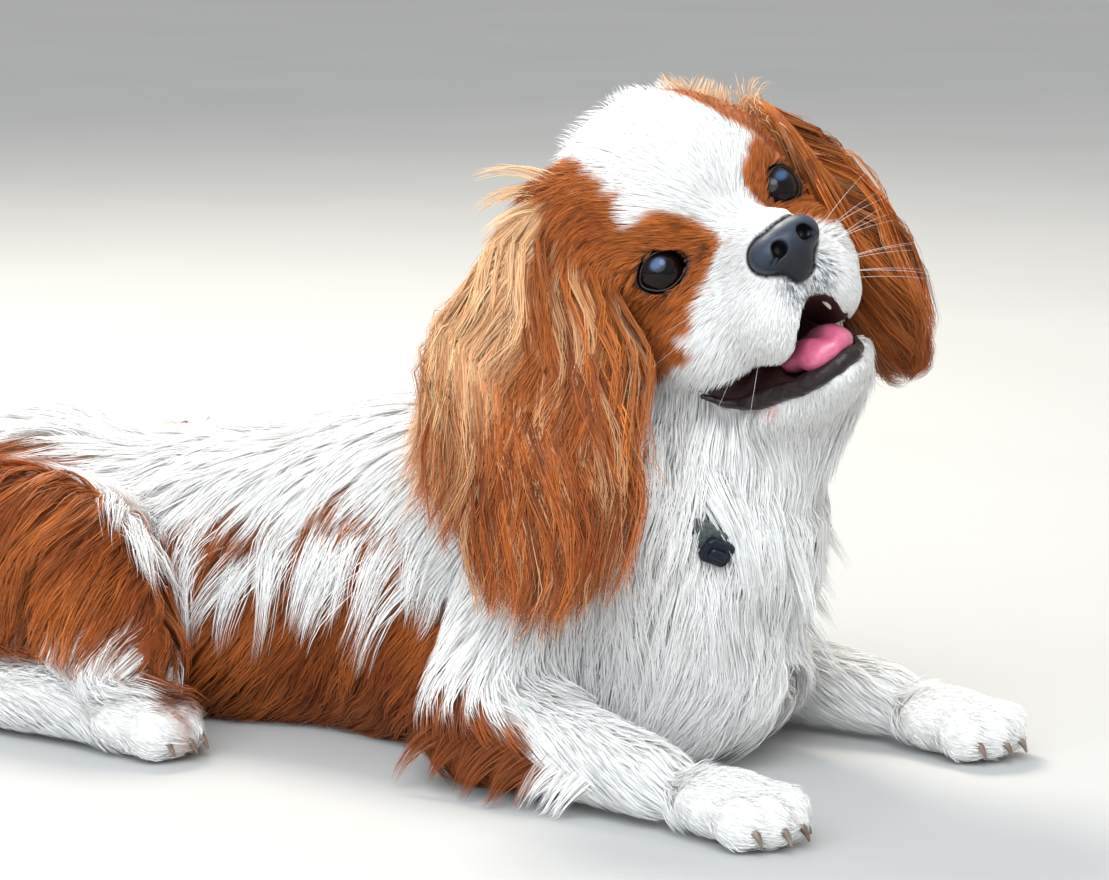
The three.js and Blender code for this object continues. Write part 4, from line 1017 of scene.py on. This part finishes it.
def ribbons(name, paths, outward, widths, colours, slot, shades=1.0, spread=0.7):
    """One mesh of thin flat hairs, each facing out from the skin with a little turn of its own."""
    count, rings = len(paths), paths.shape[1] - 1
    tangent = unit(np.gradient(paths, axis=1)[:, :-1])
    side = unit(np.cross(tangent, outward[:, None, :] + 0 * tangent))
    turn = random.normal(0, spread, (count, 1, 1))
    side = side * np.cos(turn) + np.cross(tangent, side) * np.sin(turn)
    half = side * (widths[:, None] * np.array(TAPERS[rings]) / 2)[..., None]
    points = np.empty((count, 2 * rings + 1, 3))
    points[:, 0:-1:2] = paths[:, :-1] - half
    points[:, 1:-1:2] = paths[:, :-1] + half
    points[:, -1] = paths[:, -1]
    points[..., 2] = np.maximum(points[..., 2], 0.3)
    start = np.arange(count)[:, None, None] * (2 * rings + 1)
    ladder = np.array([[2 * k, 2 * k + 1, 2 * k + 3, 2 * k + 2] for k in range(rings - 1)]).reshape(1, -1, 4)
    quads = (start + ladder).reshape(-1, 4)
    tips = (start + np.array([[[2 * rings - 2, 2 * rings - 1, 2 * rings]]])).reshape(-1, 3)
    piece = make_mesh(name, points.reshape(-1, 3), quads, tips)
    t = np.append(np.repeat(np.arange(rings) / rings, 2), 1)
    pale = np.clip(colours[:, 1] / 0.8, 0, 1)[:, None, None]
    root_shade = DARK_ROOT + (PALE_ROOT - DARK_ROOT) * pale
    shade = root_shade + (TIP_SHADE - root_shade) * t[None, :, None]
    shade = shade * (1 + (0.16 - 0.13 * pale) * random.normal(0, 1, (count, 1, 1)))
    shade = shade * (pale + (1 - pale) * np.reshape(shades, (-1, 1, 1)))
    tint = np.clip(colours[:, None, :] * shade, 0, 0.95)
    paint(piece, tint.reshape(-1, 3))
    home = unwrap(paths[:, 0], outward)
    patch = np.column_stack([np.append(np.tile((-0.5, 0.5), rings), 0), t - 0.5]) * UNWRAP_PATCH
    add_uv(piece, np.clip(home[:, None] + patch, 0.0005, 0.9995).reshape(-1, 2))
    dress(piece, coat_material, slot)


def sow(per_area):
    """Roots on the head and the body, and the way out of the skin at each."""
    upper = scatter(head_points, head_quads, per_area)
    lower = scatter(body_points, body_quads, per_area)
    return on_skin(np.concatenate([upper[neck_side(upper) > 0], lower[neck_side(lower) <= 0]]))


def coat_density(share):
    def per_area(centres):
        thicker = 1 + 0.3 * (collar_lift(centres) > 1)
        return traits_at(region_shares(centres))["density"] * share * thicker

    return per_area


# The skin's two halves become one piece
SKIN_SHADE = 0.92
skin = joined("skin", [(head_points, head_quads), (body_points, body_quads)])
paint(skin, SKIN_SHADE * np.concatenate([skin_colours(head_points), skin_colours(body_points)]))
paired = [
    f"{part}_{side}" for side in ("right", "left")
    for part in ("hind_paw", "hind_foot", "thigh", "forepaw", "foreleg", "foreleg_upper", "ear")
]
single = ("head", "lower_jaw", "neck", "torso", "tail_base", "tail_end")
dress(skin, skin_material, "white_coat", *single, *paired)


def over_strap(paths):
    """True for hairs that would hide the strap and clasp where they show below the cheek."""
    local = COLLAR.local(paths)
    angle = np.arctan2(local[..., 1], local[..., 0])
    out = np.hypot(local[..., 0], local[..., 1])
    beside = (angle > STRAP_START) & (angle < STRAP_END) & (np.abs(local[..., 2] + 3) < 5.5)
    return (beside & (out > 56) & (out < 100)).any(1)


def in_eye(paths):
    hit = np.zeros(len(paths), bool)
    for eye in EYES.values():
        local = eye.local(paths)
        hit |= ((almond(0)(local) < 0) & (local[..., 0] > 5) & (local[..., 0] < 30)).any(1)
    return hit


def in_mouth(paths):
    local = head_frame.local(paths)
    flat = local.reshape(-1, 3)
    hit = (mouth_inside(flat) < 0.2) | (nose_form(flat) < 0.3)
    return hit.reshape(local.shape[:2]).any(1)


def seen(paths):
    return ~(over_strap(paths) | in_eye(paths) | in_mouth(paths))


# The coat by pieces: the points along a hair, how much its hairs clump, and the slot. A piece takes every
# region whose name starts with its own.
COAT_PIECES = {
    "muzzle": (2, 0.05, "face_coat"),
    "brow": (2, 0.08, "face_coat"),
    "cheek": (3, 0.15, "face_coat"),
    "skull": (2, 0.1, "face_coat"),
    "crown": (3, 0.3, "face_coat"),
    "neck": (5, 0.4, "white_coat"),
    "chest": (5, 0.5, "white_coat"),
    "back": (4, 0.28, "white_coat"),
    "belly": (5, 0.5, "white_coat"),
    "rump": (4, 0.4, "white_coat"),
    "thighs": (4, 0.5, "chestnut_coat"),
    "shoulders": (4, 0.35, "white_coat"),
    "forelegs": (3, 0.3, "white_coat"),
    "feet": (2, 0.15, "white_coat"),
    "tail": (6, 0.5, "white_coat"),
}
names = list(REGIONS)
roots, outward = sow(coat_density(THIN))
home = np.argmax(region_shares(roots), 0)
guide_roots, guide_out = sow(coat_density(min(THIN * 2, 1) / HAIRS_TO_A_GUIDE))
guides = grow(guide_roots, guide_out, traits_at(region_shares(guide_roots)), GUIDE_STEPS)
guide_shades = 1 + GUIDE_SHADES * random.normal(0, 1, len(guides))
for name, (points_along, clump, slot) in COAT_PIECES.items():
    mine = np.isin(home, [number for number, region in enumerate(names) if region.startswith(name)])
    here, out = roots[mine], outward[mine]
    traits = traits_at(region_shares(here))
    guide = nearest(here, guide_roots)
    paths = follow(here, out, guides, guide, traits, clump, points_along)
    keep = seen(paths)
    here, out, paths = here[keep], out[keep], paths[keep]
    widths = traits["width"][keep] * (0.7 + 0.6 * random.random(len(here))) * WIDEN
    middle = paths[:, points_along // 2 + 1]
    ribbons("coat_" + name, paths, out, widths, coat_colours(middle), slot, guide_shades[guide[keep]])


# The ears: hair leaves both faces of each flap and fans out from its top to the ear's outline. Each has its
# frame, its side, the top of the fan, the flap's middle depth, the shortest and longest hair, how far tips
# may pass the outline, how much the hair clumps, and how cream its sunlit locks are.
EAR_DENSITY = 1.9
EAR_HAIR_LENGTH = 70.0
SUNLIT_SHARE = 0.2
EARS = {
    "right": (right_ear, 1, (12, -40), 2, (65, 112), 4, 0.72, 0.4),
    "left": (left_ear, -1, (-11, -30), 10, (55, 98), 0, 0.5, 0.15),
}


def ear_coat(side, ear, sign, top, middle, longest, loose, clump, cream):
    outline = EAR_OUTLINES[side]
    on_flap = names.index("ear_" + side)
    starts, away = sow(lambda centres: EAR_DENSITY * THIN * (np.argmax(region_shares(centres), 0) == on_flap))

    def fan(start_points, steps):
        local = at = ear.local(start_points)
        face = np.sign(local[:, 2:] - middle)
        reach = random.uniform(*longest, len(local))[:, None]
        paths = [at]
        phase = 2.5 * ripple(local * (1, 0.5, 0.3), 40, 2)
        slack = random.uniform(-7, 2, len(local)) + 5 * ripple(local * (1, 0.3, 0), 22, 4) + loose
        layer = random.uniform(1, 7, (len(local), 1))
        layer = np.where((face > 0) & (sign < 0), 7 + layer, layer)
        for step in range(1, steps + 1):
            t = step / steps
            way = at - (*top, 0)
            way[:, 2] = 0
            way = unit(unit(way) + (0, 0.3 * t, 0))
            across = np.column_stack([way[:, 1], -way[:, 0], 0 * way[:, 0]])
            wave = 0.48 * np.cos(phase + 8.5 * t)[:, None]
            at = at + unit(way + across * wave) * reach / steps
            high = middle + face[:, 0] * (2 + layer[:, 0] * math.sin(math.pi * min(t + 0.25, 1)))
            at[:, 2] += 0.5 * (high - at[:, 2])
            for _ in range(3):
                inside = outline(at)
                at = at - slope(outline, at, 0.5) * np.maximum(inside - slack, 0)[:, None]
            world = ear.points(at)
            distance, out = near_skin(world)
            world = world + out * np.maximum(1 - distance, 0)[:, None]
            world[:, 2] = np.maximum(world[:, 2], 1)
            at = ear.local(world)
            paths.append(at)
        return ear.points(np.stack(paths, 1).reshape(-1, 3)).reshape(len(start_points), steps + 1, 3)

    leaders = starts[random.random(len(starts)) < 1 / HAIRS_TO_A_GUIDE]
    paths = fan(leaders, 12)
    traits = {"length": np.full(len(starts), EAR_HAIR_LENGTH)}
    guide = nearest(starts, leaders)
    hairs = follow(starts, away, paths, guide, traits, clump, 5)
    local = ear.local(hairs.reshape(-1, 3))
    spill = np.maximum(outline(local) - 5 - loose, 0)
    hairs = ear.points(local - slope(outline, local, 0.5) * spill[:, None]).reshape(hairs.shape)
    widths = random.uniform(0.22, 0.46, len(starts)) * WIDEN
    tint = ear_colours(hairs[:, 3], ear, sign, outline)
    sunlit = random.random(len(leaders)) < SUNLIT_SHARE
    tint = mix(tint, CREAM, cream * sunlit[guide])
    shades = np.exp(0.24 * random.normal(0, 1, len(leaders)))[guide]
    ribbons("coat_ear_" + side, hairs, away, widths, tint, "chestnut_coat", shades, 0.5)


for side, shape in EARS.items():
    ear_coat(side, *shape)


# Loose locks that stand out from the coat or fall over it
def onto_skin(places):
    for _ in range(3):
        distance, out = near_skin(places)
        places = places - out * distance[:, None]
    return places, out


def add_locks(
    name, starts, headings, reach, droop, hairs, spread, lift, colour, slot="white_coat", clump=0.75,
):
    """Locks of hairs from each start; no colour means the coat's own."""
    starts, _ = onto_skin(np.array(starts, float))
    way = unit(headings)
    reach = np.broadcast_to(reach, len(starts)) * random.uniform(0.7, 1.25, len(starts))
    at = starts
    paths = [at]
    phase = random.uniform(0, 6, len(starts))
    for t in np.arange(1, 11) / 10:
        distance, out = near_skin(at)
        sway = np.cross(way, out) * (0.22 * np.cos(phase + 6 * t))[:, None]
        way = unit(way + (0, 0, -0.1 * droop) + 0.3 * sway)
        at = at + way * (reach / 10)[:, None]
        distance, out = near_skin(at)
        at = at + out * np.maximum(lift * min(3 * t, 1) - distance, 0)[:, None]
        at[:, 2] = np.maximum(at[:, 2], 1.5)
        paths.append(at)
    guide = np.repeat(np.arange(len(starts)), hairs)
    roots, out = onto_skin(starts[guide] + random.normal(0, spread, (len(guide), 3)))
    paths = follow(roots, out, np.stack(paths, 1), guide, {"length": reach[guide]}, clump, 5)
    keep = seen(paths)
    roots, out, paths = roots[keep], out[keep], paths[keep]
    widths = random.uniform(0.22, 0.42, len(roots))
    tint = coat_colours(paths[:, 3]) if colour is None else np.broadcast_to(colour, roots.shape)
    ribbons(name, paths, out, widths, tint, slot)


flank_starts, flank_ways = [], []
for side in (-1, 1):
    for x in np.linspace(-125, 30, 26):
        along = x + random.normal(0, 4)
        flank_starts.append((along, side * 62, 92 + random.uniform(-14, 14) - 0.0012 * (x + 20) ** 2))
        flank_ways.append((-0.8 + random.normal(0, 0.3), side * 0.25, -1))
add_locks("flank_feathers", flank_starts, flank_ways, 52, 1.2, 44, 5.0, 7.5, WHITE, clump=0.6)

leg_starts, leg_ways = [], []
for side, elbow, wrist in ((-1, (62, -80, 30), (140, -106, 20)), (1, (66, 80, 30), (160, 66, 20))):
    for t in np.linspace(0, 0.85, 12):
        leg_starts.append(np.array(elbow) * (1 - t) + np.array(wrist) * t + (-8, side * 12, -6))
        leg_ways.append((-0.8, side * 0.5, -0.25))
add_locks("leg_feathers", leg_starts, leg_ways, 26, 1.5, 40, 3.0, 3, None)

ruff_starts = [
    (132, -45, 126), (136, -45, 120), (140, -43, 116), (146, -39, 114), (151, -32, 112), (154, -22, 112),
]
ruff_ways = [(0.35, 0.25 - 0.05 * k, -1) for k in range(6)]
add_locks("ruff_locks", ruff_starts, ruff_ways, 46, 0.6, 110, 3.5, 12, WHITE, clump=0.6)
chest_starts = [(140, 10, 105), (148, 6, 96), (150, 12, 84), (150, 16, 72), (146, 22, 60)]
add_locks("chest_wisps", chest_starts, [(0.75, 0.65, -0.7)] * 5, 34, 0.8, 60, 4.0, 8, WHITE)

# An arc of fluff over the crown, from behind the right ear to the left one
CROWN_MIDDLE, CROWN_REACH = np.array((-34, 5, 17)), 46
ACROSS_VIEW, UP_VIEW = (0.264, 0.765, -0.587), (0.192, 0.556, 0.809)
arc = np.radians(np.linspace(158, 38, 34))
arc_ways = np.outer(np.cos(arc), ACROSS_VIEW) + np.outer(np.sin(arc), UP_VIEW)
crown_starts = head_frame.points(CROWN_MIDDLE + CROWN_REACH * arc_ways)
crown_ways = head_frame.direction(arc_ways + (-0.35, 0.1, 0)) + random.normal(0, 0.22, arc_ways.shape)
warm = np.degrees(arc) < 92
crown_tint = 0.82 * np.array(CREAM) + 0.18 * np.array(ORANGE)
add_locks(
    "crown_wisps", crown_starts[warm], crown_ways[warm],
    17, 1.2, 36, 4.5, 1.5, crown_tint, "chestnut_coat", 0.3,
)
add_locks(
    "crown_fluff", crown_starts[~warm], crown_ways[~warm],
    11, 1.0, 34, 4.0, 1.5, WHITE, "face_coat", 0.25,
)
wisp_places = [(22 + 0.25 * y, y, 4) for y in np.linspace(-18, 50, 16)]
wisp_ways = right_ear.direction([(0.85, 0.1 + 0.012 * y, 0.25) for _, y, _ in wisp_places])
wisp_ways = wisp_ways + random.normal(0, 0.22, wisp_ways.shape)
wisp_starts = right_ear.points(wisp_places)
add_locks("ear_wisps", wisp_starts, wisp_ways, 30, 1.2, 26, 2.5, 2, CREAM, "chestnut_coat", 0.6)


# Tubes for whiskers, the rims of the lids, the tooth and claws
def tube(path, radii, sides):
    """Points and four-sided faces of a round tube along a path; its ends stay open, narrowed only by its
    taper.
    """
    path = np.array(path, float)
    tangent = unit(np.gradient(path, axis=0))
    guide_line = np.where(np.abs(tangent[:, 2:]) > 0.9, np.array([[1.0, 0, 0]]), np.array([[0, 0, 1.0]]))
    side = unit(np.cross(tangent, guide_line))
    up = np.cross(side, tangent)
    turn = np.arange(sides) * 2 * math.pi / sides
    ring = side[:, None] * np.cos(turn)[None, :, None] + up[:, None] * np.sin(turn)[None, :, None]
    points = path[:, None] + ring * np.array(radii, float).reshape(-1, 1, 1)
    return points.reshape(-1, 3), ring_faces(len(path) - 1, sides)


# Eyes: a clear-coated ball, nearly black, with a painted reflection of the sky as a faint blue patch above
# its middle, and a paler rim
PUPIL, IRIS, IRIS_EDGE = (0.0012, 0.001, 0.001), (0.006, 0.0022, 0.001), (0.0015, 0.001, 0.001)
EYE_RIM, EYE_PAINTED_SKY_REFLECTION = (0.02, 0.012, 0.011), (0.05, 0.10, 0.21)


def eye_ball(sign, node):
    turns, rings = 72, 60
    polar = (np.arange(rings + 1) / rings) ** 1.35 * math.pi
    around = np.arange(turns) * 2 * math.pi / turns
    polar, around = np.meshgrid(polar, around, indexing="ij")
    cornea = 1 + 0.03 * np.exp(-(polar / 0.8) ** 2)
    radius = (EYE_RADIUS - 0.1) * cornea
    off_axis = np.sin(polar)
    local = np.stack([np.cos(polar), off_axis * np.cos(around), off_axis * np.sin(around)], -1)
    local = local * radius[..., None]
    out = np.degrees(polar).reshape(-1)
    colours = mix(PUPIL, IRIS, ramp(out, 20, 26))
    colours = mix(colours, IRIS_EDGE, ramp(out, 36, 46))
    colours = mix(colours, EYE_RIM, ramp(out, 54, 64))
    # Painted reflection of the sky: a soft blue patch above the middle of each eye
    sky = np.hypot(local[..., 1] / 3.4, (local[..., 2] - 3.0) / 2.1).reshape(-1)
    colours = mix(colours, EYE_PAINTED_SKY_REFLECTION, ramp(-sky, -1.25, -0.4) * (out < 60))
    faces = ring_faces(rings, turns)[:, [0, 3, 2, 1]]
    piece = make_mesh(node + "_ball", EYES[sign].points(local.reshape(-1, 3)), faces)
    paint(piece, colours)
    dress(piece, eye_material, "eye", node)


def lid_rim(sign):
    """The dark wet rim of both lids, lying on the eye and drawn out at its inner corner."""
    eye = EYES[sign]
    turn = np.linspace(0, 2 * math.pi, 61)
    inner = np.maximum(-np.cos(turn), 0) ** 4
    across = (EYE_WIDTH / 2 - 0.4) * np.cos(turn) - 4.2 * inner
    high = (EYE_HEIGHT / 2 - 0.1) * np.sin(turn) * (1 - 0.3 * np.abs(np.cos(turn)) ** 3) - 1.8 * inner
    flat = np.column_stack([sign * across, high])
    on_eye = np.sqrt(np.maximum((EYE_RADIUS + 0.15) ** 2 - (flat ** 2).sum(1), 20))
    depth = np.full(len(turn), 14.0)
    for _ in range(60):
        depth -= 0.4 * np.maximum(skin_form(eye.points(np.column_stack([depth, flat]))) - 0.2, 0)
    depth = np.where(inner > 0.2, np.minimum(np.maximum(depth, on_eye - 2.5), on_eye + 1), on_eye)
    path = eye.points(np.column_stack([depth, flat]))
    return tube(path, np.full(len(path), 0.36), 8)


eye_ball(-1, "eye_right")
eye_ball(1, "eye_left")
dress(joined("lid_rims", [lid_rim(-1), lid_rim(1)]), lip_material, "nose_leather")

corners = [eye.points([(7.2, -sign * 9.3, -2.2)])[0] for sign, eye in EYES.items()]
corners = [surface(ball(at, (1.0, 1.4, 0.9)), at - 3, at + 3, 0.35) for at in corners]
dress(joined("eye_corners", corners), lip_material, "nose_leather")


# Nose, tongue, tooth and lip
def in_head(name, field, low, high, cell, material, slot, *nodes):
    points, quads = surface(field, low, high, cell)
    piece = make_mesh(name, head_frame.points(points), quads)
    paint(piece, nose_colours(points))
    dress(piece, material, slot, *nodes)


# The nose's slate as painted light: a lit top, a shaded underside, and painted shade in the nostrils
NOSE_LIT_TOP, NOSE_SHADED_UNDERSIDE, NOSTRIL_SHADE = (0.030, 0.042, 0.068), (0.009, 0.011, 0.017), (0.001, 0.001, 0.001)


def nose_colours(points):
    """Slate, painted lighter on top where the light falls and darker below as painted shade, with painted
    shade in the nostrils.
    """
    hole = length((folded(points) - (NOSE_AT[0] + 6, 6.2, NOSE_AT[2] + 0.3)) / (5.5, 3.6, 3.6))
    slate = mix(NOSE_LIT_TOP, NOSE_SHADED_UNDERSIDE, ramp(-points[..., 2], 17, 26))
    return mix(slate, NOSTRIL_SHADE, ramp(-hole, -1.2, -0.8))


in_head("nose_pad", nose_form, (28, -18, -38), (58, 18, -4), 0.5, nose_material, "nose_leather", "nose")
in_head(
    "tongue_flesh", tongue_form, (-10, -16, -68), (40, 14, -45), 0.8,
    tongue_material, "tongue_flesh", "tongue",
)
tooth_path = [head_frame.point(28 - 0.6 * t * t, 7, -43.5 - 4.5 * t) for t in (0, 0.3, 0.6, 0.85, 1)]
dress(joined("tooth", [tube(tooth_path, (1.3, 1.25, 1.0, 0.6, 0.1), 10)]), enamel_material, "face_coat")


def lip_form(points):
    """The lower lip: full at the right and front, thin at the corners and on the left."""
    thick = 1.2 + 2.2 * ramp(points[..., 0], -12, 3) - 1.6 * ramp(points[..., 1], -1, 10)
    return to_path(points, LIP_LINE) - thick + 0.4 * ripple(points, 9) + 0.25 * ripple(points, 3, 3)


in_head("lower_lip", lip_form, (-16, -46, -74), (42, 36, -40), 0.7, lip_material, "nose_leather")

# Whiskers
BEND = np.array([-0.4, 0, -0.2])
whiskers = []
for side in (-1, 1):
    for row in range(4):
        for place in range(3):
            start = np.array([36 - 6 * place - 2 * row, side * (13 + 1.6 * place), -24 - 4.5 * row])
            start = start + random.normal(0, 0.8, 3)
            reach = random.uniform(26, 46)
            way = np.array([0.4 - 0.15 * place, side, 0.2 - 0.25 * row])
            way = unit(way + random.normal(0, 0.12, 3))
            t = np.linspace(0, 1, 9)[:, None]
            path = start + way * reach * t + BEND * reach * t ** 2 * 0.6
            whiskers.append(tube(head_frame.points(path), 0.08 * (1 - t[:, 0]) + 0.02, 4))
dress(joined("whiskers", whiskers), whisker_material, "face_coat")

# Claws
claws = []
for x, y, heading, long, wide in paws.values():
    ahead, across = paw_axes(heading)
    for out, reach in TOES:
        toe = np.array([x, y, 9]) + ahead * (long * reach + 7) + across * wide * out
        t = np.linspace(0, 1, 6)[:, None]
        path = toe + ahead * 4.5 * t + (0, 0, -1) * (5 * t ** 2)
        path[:, 2] = np.maximum(path[:, 2], 2)
        claws.append(tube(path, 1.9 - 1.5 * t[:, 0] ** 1.5, 8))
dress(joined("claws", claws), claw_material, "nose_leather")

# Collar and clasp keep their solids
webbing = flecked(
    "webbing", {"Roughness": 0.8, "Sheen Weight": 0.2},
    700, ((0.3, (0.045, 0.055, 0.052)), (0.75, (0.13, 0.155, 0.145))),
)
weave = add_texture(webbing, "ShaderNodeTexWave", Scale=450, Distortion=1.5)
add_bump(webbing, weave.outputs["Fac"], 0.5, 0.0004)
satin = flecked(
    "clasp_metal", {"Roughness": 0.35, "Metallic": 0.6},
    400, ((0.3, (0.012, 0.017, 0.028)), (0.8, (0.03, 0.04, 0.06))), (500, 3, 0.1, 0.0003),
)
for node, finish in (("collar", webbing), ("collar_clasp", satin)):
    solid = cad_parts[node]
    solid.data.materials.clear()
    solid.data.materials.append(finish)


# Camera, light and floor, in metres
VIEW_TURN, VIEW_LIFT = math.radians(28), math.radians(9)
CAMERA_AT = (0.7862, -1.3863, 0.3687)
CAMERA_LENS = 131.47
camera_data = bpy.data.cameras.new("camera")
camera_data.lens = CAMERA_LENS
camera_data.sensor_width = 36
camera_data.sensor_fit = "HORIZONTAL"
camera = bpy.data.objects.new("camera", camera_data)
bpy.context.scene.collection.objects.link(camera)
level = math.cos(VIEW_LIFT)
right = Vector((math.cos(VIEW_TURN), math.sin(VIEW_TURN), 0))
back = Vector((math.sin(VIEW_TURN) * level, -math.cos(VIEW_TURN) * level, math.sin(VIEW_LIFT)))
place = Matrix((right, back.cross(right), back)).transposed().to_4x4()
place.translation = CAMERA_AT
camera.matrix_world = place
bpy.context.scene.camera = camera


def area_light(name, position, target, size, power, colour):
    data = bpy.data.lights.new(name, "AREA")
    data.shape = "DISK"
    data.size = size
    data.energy = power
    data.color = colour
    lamp = bpy.data.objects.new(name, data)
    lamp.location = position
    lamp.rotation_euler = (Vector(target) - Vector(position)).to_track_quat("-Z", "Y").to_euler()
    bpy.context.scene.collection.objects.link(lamp)


# Each light's place, what it points at, its width, power in watts and colour
area_light("sun_side", (-1.1, 0.9, 1.7), (0.05, 0, 0.1), 0.8, 46, (1, 0.93, 0.82))
area_light("front", (1.0, -1.6, 2.2), (0.1, 0, 0.12), 1.2, 20, (1, 0.96, 0.9))
area_light("open_sky", (0.42, -1.9, 1.55), (0.1, 0, 0.16), 3.0, 66, (0.80, 0.90, 1))
world = bpy.data.worlds.new("studio")
world.use_nodes = True
backdrop = world.node_tree.nodes["Background"]
backdrop.inputs["Color"].default_value = (0.95, 0.96, 0.97, 1)
backdrop.inputs["Strength"].default_value = 0.75
bpy.context.scene.world = world
bpy.context.scene.view_settings.view_transform = "Standard"

floor_material = flecked(
    "floor", {"Roughness": 0.8}, 3, ((0.3, (0.49, 0.49, 0.48)), (0.8, (0.52, 0.52, 0.51))),
)
FLOOR_REACH = 30000
floor_corners = np.array([(-1, -1, 0), (1, -1, 0), (1, 1, 0), (-1, 1, 0)]) * FLOOR_REACH
floor = make_mesh("floor", floor_corners, np.array([[0, 1, 2, 3]]), smooth=False)
floor.data.materials.append(floor_material)
